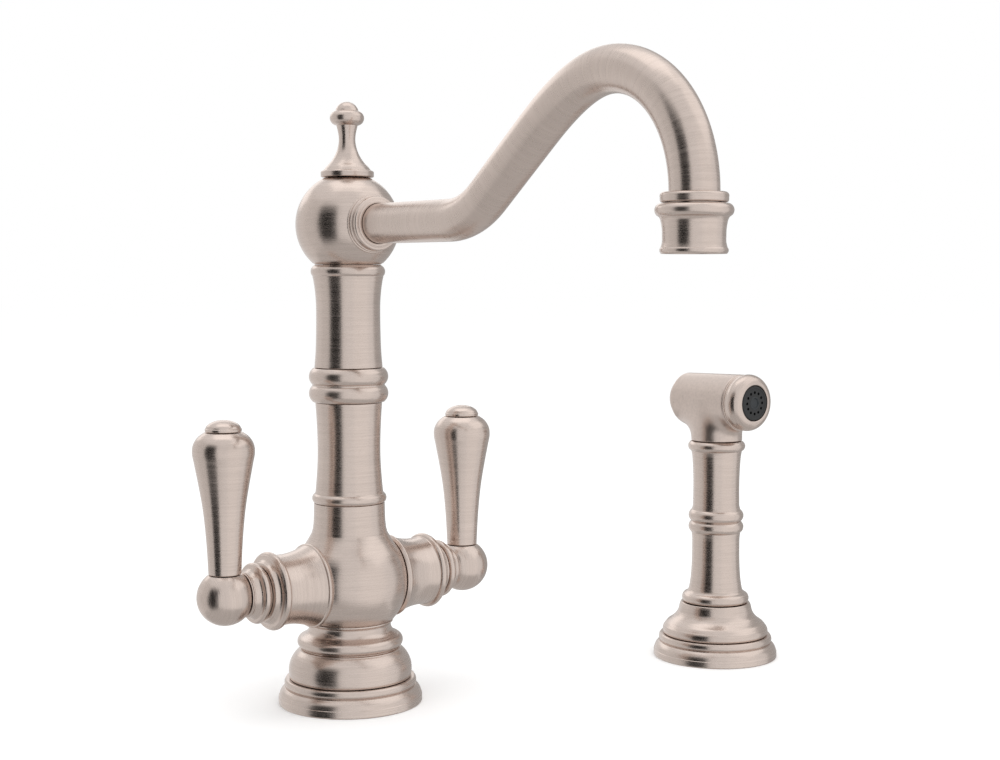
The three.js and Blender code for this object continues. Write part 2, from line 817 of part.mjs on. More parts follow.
// The spout's centre line, as distance out from the column and height above the deck.
function drawSpoutLine() {
  const slope = THREE.MathUtils.degToRad(spoutSlope);
  const line = new THREE.Path();
  line.moveTo(spoutInsertion, spoutAxis);
  line.lineTo(spoutLevelLength, spoutAxis);
  const bendCentre = spoutAxis + spoutBendRadius;
  line.absarc(spoutLevelLength, bendCentre, spoutBendRadius, -Math.PI / 2, slope - Math.PI / 2, false);
  const rampRun = spoutRampLength * Math.cos(slope);
  const rampRise = spoutRampLength * Math.sin(slope);
  const ramp = line.currentPoint.clone().add(new THREE.Vector2(rampRun, rampRise));
  line.lineTo(ramp.x, ramp.y);
  const crown = ramp.clone().add(new THREE.Vector2(spoutCrownRun, spoutCrownRise));
  line.bezierCurveTo(
    ramp.x + spoutRampHandle * Math.cos(slope),
    ramp.y + spoutRampHandle * Math.sin(slope),
    crown.x - spoutCrownHandle,
    crown.y,
    crown.x,
    crown.y,
  );
  const fall = crown.y - spoutFallDrop;
  line.absellipse(crown.x, fall, spoutFallReach, spoutFallDrop, Math.PI / 2, 0, true, 0);
  line.lineTo(crown.x + spoutFallReach, fall - spoutTailLength);
  return line;
}

const spoutLine = drawSpoutLine();
const spoutEnd = spoutLine.getPoint(1);
const collarTop = spoutEnd.y + spoutTailLength + outletCollarOverlap;
const collarBottom = collarTop - outletCollarHeight;
const aeratorTop = collarBottom - seamGap;
const aeratorBottom = aeratorTop - aeratorHeight;
const outletAt = [0, -spoutEnd.x, 0];

class SpoutCurve extends THREE.Curve {
  getPoint(share, target = new THREE.Vector3()) {
    const point = spoutLine.getPoint(share);
    return target.set(0, -point.x, point.y);
  }
}

function drawPolygon(radius, facets, shape) {
  for (let corner = 0; corner < facets; corner += 1) {
    const angle = 2 * Math.PI * corner / facets;
    const point = [radius * Math.cos(angle), radius * Math.sin(angle)];
    if (corner === 0) shape.moveTo(...point);
    else shape.lineTo(...point);
  }
  shape.closePath();
  return shape;
}

function makeSpoutTube() {
  const section = drawPolygon(spoutRadius, spoutFacets, new THREE.Shape());
  section.holes.push(drawPolygon(spoutBore, spoutBoreFacets, new THREE.Path()));
  const settings = { steps: spoutSteps, extrudePath: new SpoutCurve(), curveSegments: 1 };
  return toSolid(new THREE.ExtrudeGeometry(section, settings));
}

// A short collar whose inner side follows the ball.
function makeSpoutCollar() {
  const seatRadius = hubRadius + seamGap;
  const outline = new Outline(spoutHole, radiusOnBall(seatRadius, spoutHole));
  outline.bow(spoutCollarRadius, radiusOnBall(seatRadius, spoutCollarRadius), -spoutCollarHollow);
  outline.to(spoutCollarFaceRadius, spoutCollarReach - spoutCollarRounding);
  outline.to(spoutCollarFaceRadius - spoutCollarRounding, spoutCollarReach);
  outline.to(spoutHole + spoutSealWall + fitGap, spoutCollarReach);
  outline.to(spoutHole + spoutSealWall + fitGap, spoutCollarReach - spoutSealThickness - seamGap);
  outline.to(spoutHole, spoutCollarReach - spoutSealThickness - seamGap);
  return turned(outline, middleFacets, '-y', [0, 0, spoutAxis]);
}

function makeAeratorShell() {
  const bore = spoutRadius + fitGap;
  const outline = new Outline(bore, aeratorBottom).to(aeratorLipRadius, aeratorBottom);
  outline.to(aeratorLipRadius, aeratorBottom + aeratorLipHeight);
  outline.bow(aeratorWaistRadius, aeratorTop - aeratorBeadHeight, -aeratorFlareRise);
  outline.bow(aeratorBeadRadius, aeratorTop, aeratorBeadRise, beadSteps).to(bore, aeratorTop);
  return turned(outline, middleFacets, 'z', outletAt);
}

function makeAeratorInsert() {
  const from = aeratorBottom + aeratorInsertRecess;
  const to = from + aeratorInsertHeight;
  let insert = bar(spoutRadius, from, to, slimFacets, 'z', outletAt);
  for (let jet = 0; jet < aeratorJetCount; jet += 1) {
    const angle = 2 * Math.PI * jet / aeratorJetCount;
    const at = [aeratorJetOffset * Math.cos(angle), aeratorJetOffset * Math.sin(angle) + outletAt[1], 0];
    insert = insert.subtract(bar(aeratorJetRadius, from - to, 2 * to, holeFacets, 'z', at));
  }
  return insert.subtract(bar(aeratorJetRadius, from - to, 2 * to, holeFacets, 'z', outletAt));
}

const aeratorWasherBottom = aeratorBottom + aeratorInsertRecess + aeratorInsertHeight + seamGap;

place('ball_hub', makeBallHub(), nickel);
place('finial', makeFinial(), nickel);
place('spout_tube', makeSpoutTube(), nickel);
place('spout_collar', makeSpoutCollar(), nickel);
place(
  'spout_seal',
  ring(
    spoutHole,
    spoutHole + spoutSealWall,
    spoutCollarReach - spoutSealThickness,
    spoutCollarReach - seamGap,
    innerFacets,
    '-y',
    [0, 0, spoutAxis],
  ),
  rubber,
);
place(
  'outlet_collar',
  ring(spoutHole, outletCollarRadius, collarBottom, collarTop, middleFacets, 'z', outletAt),
  nickel,
);
place('aerator_shell', makeAeratorShell(), nickel);
place('aerator_insert', makeAeratorInsert(), darkPlastic);
place(
  'aerator_washer',
  ring(
    aeratorWasherBore,
    spoutRadius,
    aeratorWasherBottom,
    aeratorWasherBottom + aeratorWasherHeight,
    innerFacets,
    'z',
    outletAt,
  ),
  rubber,
);

// ---------------------------------------------------------------------------------------------
// Handles
// ---------------------------------------------------------------------------------------------

function makeValveSleeve(axis, at) {
  const base = sleeveSeat;
  const bore = sleeveNoseRadius - sleeveNoseWall;
  const cavity = cartridgeHeadRadius + fitGap;
  const outline = new Outline(cavity, base).to(sleeveFlangeRadius, base);
  outline.to(sleeveFlangeTopRadius, base + sleeveFlangeLength);
  outline.bow(sleeveBarrelRadius, base + sleeveBarrelLength, -sleeveBarrelRise);
  outline.bow(sleeveBeadEndRadius, base + sleeveBeadEnd, sleeveBeadRise, beadSteps);
  outline.to(sleeveNoseRadius, base + sleeveLength).to(bore, base + sleeveLength);
  outline.to(bore, base + sleeveCavityLength).to(cavity, base + sleeveCavityLength);
  return turned(outline, middleFacets, axis, at);
}

function makeTrimRing(axis, at) {
  const base = trimSeat;
  const bore = cartridgeNoseRadius + fitGap;
  const tipBore = cartridgeTipRadius + fitGap;
  const step = sleeveSeat + cartridgeNoseEnd + seamGap;
  const outline = new Outline(bore, base).to(trimRootRadius, base);
  outline.to(trimRootRadius, base + trimBeadStart);
  outline.bow(trimRootRadius, base + trimBeadEnd, trimBeadRise, beadSteps);
  outline.to(trimNeckRadius, base + trimBeadEnd);
  outline.bow(trimNeckEndRadius, base + trimLength, trimNeckRise).to(tipBore, base + trimLength);
  outline.to(tipBore, step).to(bore, step);
  return turned(outline, slimFacets, axis, at);
}

function makeCartridgeBody(axis, at) {
  const outline = new Outline(discBore, cartridgeSeat).to(cartridgeBodyRadius, cartridgeSeat);
  outline.to(cartridgeBodyRadius, cartridgeSeat + cartridgeFootLength);
  outline.to(cartridgeBodyRadius, sleeveSeat + seamGap).to(cartridgeHeadRadius, sleeveSeat + seamGap);
  outline.to(cartridgeHeadRadius, sleeveSeat + cartridgeHeadEnd - seamGap);
  outline.to(cartridgeNoseRadius, sleeveSeat + cartridgeHeadEnd - seamGap);
  outline.to(cartridgeNoseRadius, sleeveSeat + cartridgeNoseEnd);
  outline.to(cartridgeTipRadius, sleeveSeat + cartridgeNoseEnd);
  outline.to(cartridgeTipRadius, sleeveSeat + cartridgeTipEnd);
  outline.to(stemBore, sleeveSeat + cartridgeTipEnd).to(stemBore, stemShoulder + runningGap);
  outline.to(discBore, stemShoulder + runningGap);
  return turned(outline, innerFacets, axis, at);
}

function makeDisc(from, axis, at) {
  let disc = bar(discRadius, from, from + discThickness, innerFacets, axis, at);
  for (const offset of [-discPortOffset, discPortOffset]) {
    const portAt = [at[0], at[1] + offset, at[2]];
    const reach = from + 2 * discThickness;
    disc = disc.subtract(bar(discPortRadius, from - discThickness, reach, holeFacets, axis, portAt));
  }
  return disc;
}

function makeStem(axis, at) {
  const outline = new Outline(0, stemFootSeat).to(stemFootRadius, stemFootSeat);
  outline.to(stemFootRadius, stemShoulder).to(stemRadius, stemShoulder);
  outline.to(stemRadius, stemEnd).to(0, stemEnd);
  return turned(outline, innerFacets, axis, at);
}

function makeHandleBall(axis, side, at) {
  const face = handleFace - handleOffset;
  const outline = new Outline(0, face).to(radiusOnBall(handleBallRadius, face), face);
  outline.ball(handleBallRadius, 0, handleBallRadius, ballSteps);
  const centre = [side * handleOffset, 0, handleHeight];
  const beyond = 2 * handleBallRadius;
  let ball = turned(outline, slimFacets, axis, centre);
  ball = ball.subtract(bar(beyond, handleBallTop, beyond, squareFacets, 'z', centre));
  ball = ball.subtract(bar(stemRadius + fitGap, 0, stemEnd + seamGap, innerFacets, axis, at));
  const studHole = handleBallTop - leverStudLength - seamGap;
  ball = ball.subtract(bar(leverStudRadius + fitGap, studHole, beyond, innerFacets, 'z', centre));
  return ball.subtract(bar(grubRadius + fitGap, 0, beyond, holeFacets, '-z', centre));
}

function makeGrubScrew(side) {
  const centre = [side * handleOffset, 0, handleHeight];
  return bar(grubRadius, stemRadius + seamGap, handleBallRadius - 2 * seamGap, holeFacets, '-z', centre);
}

function makeLever(side) {
  const base = leverBottom;
  const socket = capStudRadius + fitGap;
  const socketBottom = leverTop - capStudLength;
  const outline = new Outline(0, base - leverStudLength).to(leverStudRadius, base - leverStudLength);
  outline.to(leverStudRadius, base).to(leverFootRadius, base);
  outline.bow(leverMiddleRadius, base + leverMiddleHeight, -leverFootRise);
  outline.bow(leverShoulderRadius, base + leverShoulderHeight, -leverBodyRise);
  outline.bow(leverTopRadius, leverTop, leverShoulderRise, beadSteps);
  outline.to(socket, leverTop).to(socket, socketBottom).to(0, socketBottom);
  return turned(outline, slimFacets, 'z', [side * handleOffset, 0, 0]);
}

function makeLeverCap(side) {
  const stud = capBottom - capStudLength;
  const outline = new Outline(0, stud).to(capStudRadius, stud).to(capStudRadius, capBottom);
  outline.to(capRadius, capBottom).to(capRadius, capBottom + capEdgeHeight);
  outline.bow(0, capBottom + capHeight, capRise, beadSteps);
  return turned(outline, slimFacets, 'z', [side * handleOffset, 0, 0]);
}

function makeHandleSet(prefix, axis, side) {
  const at = [0, 0, handleHeight];
  const sealEnd = cartridgeSealSeat + cartridgeSealLength;
  place(`${prefix}_valve_sleeve`, makeValveSleeve(axis, at), nickel);
  place(`${prefix}_trim_ring`, makeTrimRing(axis, at), nickel);
  place(`${prefix}_cartridge_body`, makeCartridgeBody(axis, at), brass);
  place(
    `${prefix}_cartridge_seal`,
    ring(outletPortRadius, cartridgeBodyRadius, cartridgeSealSeat, sealEnd, innerFacets, axis, at),
    rubber,
  );
  place(`${prefix}_fixed_disc`, makeDisc(cartridgeSeat, axis, at), ceramic);
  place(`${prefix}_turning_disc`, makeDisc(turningDiscSeat, axis, at), ceramic);
  place(`${prefix}_valve_stem`, makeStem(axis, at), brass);
  place(`${prefix}_handle_ball`, makeHandleBall(axis, side, at), nickel);
  place(`${prefix}_grub_screw`, makeGrubScrew(side), stainless);
  place(`${prefix}_lever`, makeLever(side), nickel);
  place(`${prefix}_lever_cap`, makeLeverCap(side), nickel);
}

makeHandleSet('left', '-x', -1);
makeHandleSet('right', 'x', 1);

// ---------------------------------------------------------------------------------------------
// Side spray: deck base and holder
// ---------------------------------------------------------------------------------------------

const spray = new THREE.Group();
spray.position.set(sprayX, sprayY, 0);
faucet.add(spray);

function makeSprayFlange() {
  const recess = gasketThickness + seamGap;
  const gasketEdge = sprayGasketOuter + fitGap;
  const outline = new Outline(sprayFootBore, recess).to(gasketEdge, recess).to(gasketEdge, 0);
  outline.to(sprayFootRadius, 0).to(sprayFootRadius, sprayFootRimHeight);
  outline.bow(sprayTierRadius, sprayTierHeight, footRounding);
  outline.bow(sprayTierTopRadius, sprayFootHeight, footRounding).to(sprayFootBore, sprayFootHeight);
  return turned(outline, wideFacets);
}

function makeSprayHolder() {
  const base = sprayHolderBottom;
  const bore = guideRadius + runningGap;
  const outline = new Outline(bore, base).to(holderFootRadius, base);
  outline.to(holderWaistRadius, base + holderWaistHeight);
  outline.bow(holderShoulderRadius, base + holderShoulderHeight, holderShoulderRise);
  outline.bow(holderNeckRadius, base + holderNeckHeight, -holderCoveRise);
  outline.bow(holderTopRadius, sprayHolderTop, holderLipRise).to(bore, sprayHolderTop);
  return turned(outline, wideFacets);
}

const sprayGasketOuter = sprayFootRadius - (footRadius - gasketOuterRadius);
const sprayGasketInner = sprayGasketOuter - (gasketOuterRadius - gasketInnerRadius);

place('spray_foot_flange', makeSprayFlange(), nickel, spray);
place(
  'spray_gasket',
  ring(sprayGasketInner, sprayGasketOuter, 0, gasketThickness, middleFacets),
  rubber,
  spray,
);
place(
  'spray_foot_plate',
  ring(sprayPlateBore, sprayFootBore - fitGap, 0, sprayPlateHeight, slimFacets),
  brass,
  spray,
);
place('spray_holder', makeSprayHolder(), nickel, spray);
place(
  'spray_guide_bush',
  ring(guideBore, guideRadius, guideBottom, sprayHolderTop - seamGap, slimFacets),
  palePlastic,
  spray,
);

// ---------------------------------------------------------------------------------------------
// Side spray: handset
// ---------------------------------------------------------------------------------------------

function makeGrip() {
  const base = gripBottom;
  const socket = couplingRadius + fitGap;
  const socketTop = base - spigotLength + couplingSocketDepth + seamGap;
  const secondRing = gripRingStart + gripRingHeight;
  const ringEnd = secondRing + gripRingHeight;
  const outline = new Outline(socket, base - spigotLength).to(spigotRadius, base - spigotLength);
  outline.to(spigotRadius, base).to(gripSeatRadius, base);
  outline.bow(gripFootRadius, base + gripFootHeight, gripFootRise, beadSteps);
  outline.to(gripCoveRadius, base + gripCoveHeight);
  outline.bow(gripLowerRadius, base + gripLowerHeight, -gripLowerRise);
  outline.to(gripRingRootRadius, base + gripRingStart);
  outline.bow(gripRingRootRadius, base + secondRing, gripRingRise, beadSteps);
  outline.bow(gripRingRootRadius, base + ringEnd, gripRingRise, beadSteps);
  outline.to(gripUpperRadius, base + gripUpperStart);
  outline.bow(gripUpperEndRadius, base + gripUpperEnd, -gripLowerRise);
  outline.to(gripTopRadius, base + gripTopRingStart);
  outline.bow(gripTopRadius, gripTop, gripTopRingRise, beadSteps).to(gripBore, gripTop);
  outline.to(gripBore, socketTop).to(socket, socketTop);
  return turned(outline, middleFacets);
}

function makeHoseCoupling() {
  const top = gripBottom - spigotLength + couplingSocketDepth;
  return ring(couplingBore, couplingRadius, top - couplingLength, top, innerFacets);
}

function makeHead() {
  const axis = [0, 0, headHeight];
  const flareTop = headBottom + headFlareHeight;
  const neck = bar(headNeckRadius, headBottom, headBottom + headNeckHeight, middleFacets);
  const flareOutline = new Outline(0, headBottom).to(headNeckRadius, headBottom);
  flareOutline.to(headNeckRadius, headBottom + headNeckStraight);
  flareOutline.bow(headFlareRadius, flareTop, -headFlareRise).to(0, flareTop);
  const sides = new THREE.BoxGeometry(headNeckWidth, 2 * headFlareRadius, 2 * headNeckHeight);
  sides.translate(0, 0, headBottom);
  const barrel = new Outline(0, -headFront).to(headRadius, -headFront);
  barrel.to(headRearRadius, headRear - headRearRounding);
  barrel.to(headRearRadius - headRearChamfer, headRear).to(0, headRear);
  let head = neck.add(turned(flareOutline, middleFacets).intersect(toSolid(sides)));
  head = head.add(turned(barrel, middleFacets, 'y', axis));
  const wellRadius = buttonRadius + runningGap;
  const cavity = bezelSpigotRadius + fitGap;
  const cavityDepth = headFront - bezelSpigotLength - seamGap;
  head = head.subtract(bar(bezelRadius + seamGap, headFront, 2 * headFront, middleFacets, '-y', axis));
  head = head.subtract(bar(gripBore, gripBottom, headHeight, innerFacets));
  head = head.subtract(bar(cavity, cavityDepth, 2 * headFront, middleFacets, '-y', axis));
  head = head.subtract(bar(wellRadius, buttonWell, 2 * headRear, slimFacets, 'y', axis));
  head = head.subtract(bar(springPocketRadius, springBed, 2 * headRear, innerFacets, 'y', axis));
  return head.subtract(bar(buttonStemRadius + runningGap, -headFront, headRear, holeFacets, 'y', axis));
}

function makeBezel() {
  const axis = [0, 0, headHeight];
  const back = headFront + seamGap;
  const bore = nozzleRadius + fitGap;
  const outline = new Outline(bore, headFront - bezelSpigotLength);
  outline.to(bezelSpigotRadius, headFront - bezelSpigotLength).to(bezelSpigotRadius, back);
  outline.to(bezelRadius, back).to(bezelRadius, bezelFront - bezelRounding);
  outline.bow(bore + seamGap, bezelFront, bezelRise, beadSteps).to(bore, bezelFront);
  return turned(outline, middleFacets, '-y', axis);
}

function makeNozzleFace() {
  const axis = [0, 0, headHeight];
  const back = nozzleFront - nozzleLength;
  let face = bar(nozzleRadius, back, nozzleFront, slimFacets, '-y', axis);
  for (let jet = 0; jet < nozzleJetCount; jet += 1) {
    const angle = 2 * Math.PI * jet / nozzleJetCount;
    const at = [nozzleJetOffset * Math.cos(angle), 0, headHeight + nozzleJetOffset * Math.sin(angle)];
    face = face.subtract(bar(nozzleJetRadius, 0, 2 * nozzleFront, jetFacets, '-y', at));
  }
  const dimpleFloor = nozzleFront - nozzleCentreDepth;
  const dimple = bar(nozzleCentreRadius, dimpleFloor, 2 * nozzleFront, holeFacets, '-y', axis);
  return face.subtract(dimple);
}

function makeThumbButton() {
  const axis = [0, 0, headHeight];
  const outline = new Outline(0, buttonFront - buttonStemLength);
  outline.to(buttonStemRadius, buttonFront - buttonStemLength).to(buttonStemRadius, buttonFront);
  outline.to(buttonRadius, buttonFront).to(buttonRadius, buttonRear - buttonRounding);
  outline.bow(0, buttonRear, buttonRise, beadSteps);
  return turned(outline, slimFacets, 'y', axis);
}

class SpringCurve extends THREE.Curve {
  getPoint(share, target = new THREE.Vector3()) {
    const angle = 2 * Math.PI * springTurns * share;
    const from = springBed + seamGap + springWireRadius;
    const to = buttonFront - seamGap - springWireRadius;
    return target.set(
      springRadius * Math.cos(angle),
      from + (to - from) * share,
      headHeight + springRadius * Math.sin(angle),
    );
  }
}

function makeButtonSpring() {
  const wire = drawPolygon(springWireRadius, springWireFacets, new THREE.Shape());
  const settings = {
    steps: springTurns * springStepsPerTurn,
    extrudePath: new SpringCurve(),
    curveSegments: 1,
  };
  return toSolid(new THREE.ExtrudeGeometry(wire, settings));
}

place('spray_grip', makeGrip(), nickel, spray);
place('spray_hose_coupling', makeHoseCoupling(), brass, spray);
place('spray_head', makeHead(), nickel, spray);
place('spray_bezel', makeBezel(), nickel, spray);
place('spray_nozzle_face', makeNozzleFace(), darkPlastic, spray);
place('spray_thumb_button', makeThumbButton(), nickel, spray);
place('spray_button_spring', makeButtonSpring(), stainless, spray);

export default faucet;
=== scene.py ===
"""Looks of a two-handle kitchen faucet with a turned column, a swivelling spout and a side spray.

Sizes are in millimetres in the classes below and become metres when a mesh is made. The frame is
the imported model's own: the origin is the centre of the column's foot, +Z is up, the right handle
is at +X and the spout reaches out along -Y.
"""

import json
import logging
import math
from collections.abc import Iterable
from dataclasses import asdict, dataclass
from enum import Enum

import bmesh
import bpy
import numpy as np
from mathutils import Matrix, Vector

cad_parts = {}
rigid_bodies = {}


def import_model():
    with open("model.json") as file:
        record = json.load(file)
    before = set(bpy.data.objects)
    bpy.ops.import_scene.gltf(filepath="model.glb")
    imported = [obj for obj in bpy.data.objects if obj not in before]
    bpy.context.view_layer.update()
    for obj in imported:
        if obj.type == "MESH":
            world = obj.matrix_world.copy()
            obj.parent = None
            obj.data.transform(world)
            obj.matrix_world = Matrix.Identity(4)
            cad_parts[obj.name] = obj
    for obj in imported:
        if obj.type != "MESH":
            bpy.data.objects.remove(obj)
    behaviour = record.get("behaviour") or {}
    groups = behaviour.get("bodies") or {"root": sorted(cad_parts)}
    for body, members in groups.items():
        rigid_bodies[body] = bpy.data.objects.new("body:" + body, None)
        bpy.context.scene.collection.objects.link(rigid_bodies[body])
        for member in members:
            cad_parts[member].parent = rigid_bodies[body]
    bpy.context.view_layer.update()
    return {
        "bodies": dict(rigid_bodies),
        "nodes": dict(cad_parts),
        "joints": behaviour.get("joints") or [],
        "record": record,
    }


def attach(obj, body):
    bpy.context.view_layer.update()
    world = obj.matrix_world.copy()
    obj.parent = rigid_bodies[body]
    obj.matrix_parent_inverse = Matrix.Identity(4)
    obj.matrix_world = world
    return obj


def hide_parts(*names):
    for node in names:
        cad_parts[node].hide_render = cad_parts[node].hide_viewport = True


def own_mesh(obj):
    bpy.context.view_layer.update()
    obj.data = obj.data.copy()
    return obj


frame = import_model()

LOG = logging.getLogger("faucet")
MM = 0.001
TURN_STEPS = 112
SHARP_ANGLE = math.radians(34)
# A corner that turns less than this belongs to a curve and isn't rounded.
CORNER_ANGLE = math.radians(17)
# The rounding of a corner takes at most this share of the stretch on either side of it.
CORNER_SHARE = 0.42
# Lengths in millimetres that count as nothing: between points of an outline, between vertices
# that become one, and of an edge that is left out.
NO_LENGTH = 1e-6
ONE_POINT = 1e-4
NO_EDGE = 1e-5
# Turns a cutter a little, so that none of its edges lies on an edge of the piece that it cuts.
ROD_PHASE = math.radians(1.13)
# The middle of the faucet, at which the lamps point, and the height of the cards' centre.
MIDDLE = (70.0, -60.0, 130.0)
CARD_HEIGHT = 200.0
Point = tuple[float, float, float]
Colour = tuple[float, float, float]


class Heading(Enum):
    """The way a turned piece's own axis points, as the turn that lays +Z along it."""

    UP = (0.0, "X")
    DOWN = (math.pi, "X")
    RIGHT = (math.pi / 2, "Y")
    LEFT = (-math.pi / 2, "Y")
    BACK = (-math.pi / 2, "X")
    FRONT = (math.pi / 2, "X")

    def matrix(self) -> Matrix:
        """Gives the turn as a matrix."""
        angle, axis = self.value
        return Matrix.Rotation(angle, 4, axis)


# ------------------------------------------------------------------------------------------------
# Profiles and meshes
# ------------------------------------------------------------------------------------------------


class Outline:
    """A turned piece's profile: radius and height, up the outside and down the inside."""

    def __init__(self, radius: float, height: float, base: float = 0.0) -> None:
        """Starts the profile.

        Args:
            radius: Distance from the axis.
            height: Distance along the axis.
            base: Where on the axis this and all later heights are counted from.
        """
        self.base = base
        self.points: list[tuple[float, float]] = [(radius, base + height)]

    def to(self, radius: float, height: float) -> "Outline":
        """Adds a straight stretch.

        Args:
            radius: Radius at its end.
            height: Height at its end.

        Returns:
            This outline.
        """
        self.points.append((radius, self.base + height))
        return self

    def bow(self, radius: float, height: float, rise: float, steps: int = 14) -> "Outline":
        """Adds an arc.

        Args:
            radius: Radius at its end.
            height: Height at its end.
            rise: How far the arc's middle stands to the right of the straight way.
            steps: Number of stretches.

        Returns:
            This outline.
        """
        start, end = Vector(self.points[-1]), Vector((radius, self.base + height))
        along = end - start
        half = along.length / 2
        along.normalize()
        aside = Vector((along.y, -along.x))
        half_angle = 2 * math.atan2(rise, half)
        size = half / math.sin(half_angle)
        centre = (start + end) / 2 - aside * (size * math.cos(half_angle))
        for step in range(1, steps):
            angle = half_angle * (2 * step / steps - 1)
            point = centre + aside * (size * math.cos(angle)) + along * (size * math.sin(angle))
            self.points.append((point.x, point.y))
        return self.to(radius, height)

    def through(self, *places: tuple[float, float], steps: int = 7) -> "Outline":
        """Adds a smooth curve through places.

        Args:
            *places: Radius and height of each.
            steps: Number of stretches between two of them.

        Returns:
            This outline.
        """
        stops = [Vector(self.points[-1])]
        stops += [Vector((radius, self.base + height)) for radius, height in places]
        spans = [(after - before).length for before, after in zip(stops, stops[1:])]
        lean = [(b - a) / span for a, b, span in zip(stops, stops[1:], spans)]
        turns = [
            (lean[i] * spans[i - 1] + lean[i - 1] * spans[i]) / (spans[i] + spans[i - 1])
            for i in range(1, len(lean))
        ]
        turns = [lean[0] * 1.5 - turns[0] * 0.5] + turns + [lean[-1] * 1.5 - turns[-1] * 0.5]
        for i, span in enumerate(spans):
            for step in range(1, steps + 1):
                t = step / steps
                point = (
                    stops[i] * (2 * t**3 - 3 * t**2 + 1)
                    + turns[i] * (span * (t**3 - 2 * t**2 + t))
                    + stops[i + 1] * (3 * t**2 - 2 * t**3)
                    + turns[i + 1] * (span * (t**3 - t**2))
                )
                self.points.append((point.x, point.y))
        return self

    def ball(self, size: float, centre: float, height: float, steps: int = 44) -> "Outline":
        """Adds a stretch of a sphere about the axis.

        Args:
            size: The sphere's radius.
            centre: Height of its centre.
            height: Height at which the stretch ends.
            steps: Number of stretches.

        Returns:
            This outline.
        """
        low = self.points[-1][1] - self.base
        start, end = (
            math.asin(max(-1.0, min(1.0, (level - centre) / size))) for level in (low, height)
        )
        for step in range(1, steps + 1):
            angle = start + (end - start) * step / steps
            self.to(size * math.cos(angle), centre + size * math.sin(angle))
        return self

    @property
    def closed(self) -> bool:
        """Whether the profile goes round a bore and closes on itself."""
        return max(self.points[0][0], self.points[-1][0]) > NO_LENGTH

    def softened(self, size: float, steps: int = 4) -> list[tuple[float, float]]:
        """Rounds each sharp corner a little.

        Args:
            size: Radius of the rounding.
            steps: Number of stretches in it.

        Returns:
            The points of the softened profile.
        """
        points = [Vector(p) for p in self.points]
        count = len(points)
        made: list[tuple[float, float]] = []
        for i, here in enumerate(points):
            before, after = points[i - 1] - here, points[(i + 1) % count] - here
            shortest = min(before.length, after.length)
            on_axis = not self.closed and i in (0, count - 1)
            straight = on_axis or shortest < NO_LENGTH
            turn = 0.0 if straight else math.pi - before.angle(after)
            if turn < CORNER_ANGLE:
                made.append((here.x, here.y))
                continue
            back = min(size * math.tan(turn / 2), CORNER_SHARE * shortest)
            start = here + before.normalized() * back
            end = here + after.normalized() * back
            for step in range(steps + 1):
                t = step / steps
                point = start * (1 - t) ** 2 + here * (2 * t * (1 - t)) + end * t**2
                made.append((point.x, point.y))
        return made


def turned(
    outline: Outline,
    heading: Heading = Heading.UP,
    at: Point = (0.0, 0.0, 0.0),
    soften: float = 0.3,
    steps: int = TURN_STEPS,
) -> bmesh.types.BMesh:
    """Turns an outline about its axis.

    Args:
        outline: The profile, in millimetres.
        heading: The way the axis points.
        at: A point on the axis from which heights are counted.
        soften: Radius of the rounding of sharp corners.
        steps: Number of stretches round the piece.

    Returns:
        The mesh, in millimetres.
    """
    made = bmesh.new()
    points = outline.softened(soften)
    verts = [made.verts.new((radius, 0.0, height)) for radius, height in points]
    pairs = list(zip(verts, verts[1:]))
    if outline.closed:
        pairs.append((verts[-1], verts[0]))
    edges = [made.edges.new(pair) for pair in pairs]
    bmesh.ops.spin(
        made,
        geom=verts + edges,
        cent=(0, 0, 0),
        axis=(0, 0, 1),
        angle=2 * math.pi,
        steps=steps,
        use_merge=True,
        use_duplicate=False,
    )
    bmesh.ops.remove_doubles(made, verts=made.verts, dist=ONE_POINT)
    bmesh.ops.dissolve_degenerate(made, edges=made.edges, dist=NO_EDGE)
    bmesh.ops.recalc_face_normals(made, faces=made.faces)
    bmesh.ops.transform(made, matrix=Matrix.Translation(at) @ heading.matrix(), verts=made.verts)
    return made


def rod(
    radius: float, start: float, end: float, heading: Heading, at: Point, steps: int = 64
) -> bmesh.types.BMesh:
    """Makes a plain round bar, used as a cutter and for the spray head's neck.

    Args:
        radius: The bar's radius.
        start: Where it starts along its axis.
        end: Where it ends.
        heading: The way the axis points.
        at: The point from which both are counted.
        steps: Number of stretches round it.

    Returns:
        The mesh, in millimetres.
    """
    made = bmesh.new()
    middle = Matrix.Translation((0, 0, (start + end) / 2))
    phase = Matrix.Rotation(ROD_PHASE, 4, "Z")
    bmesh.ops.create_cone(
        made,
        cap_ends=True,
        segments=steps,
        radius1=radius,
        radius2=radius,
        depth=end - start,
        matrix=Matrix.Translation(at) @ heading.matrix() @ middle @ phase,
    )
    return made


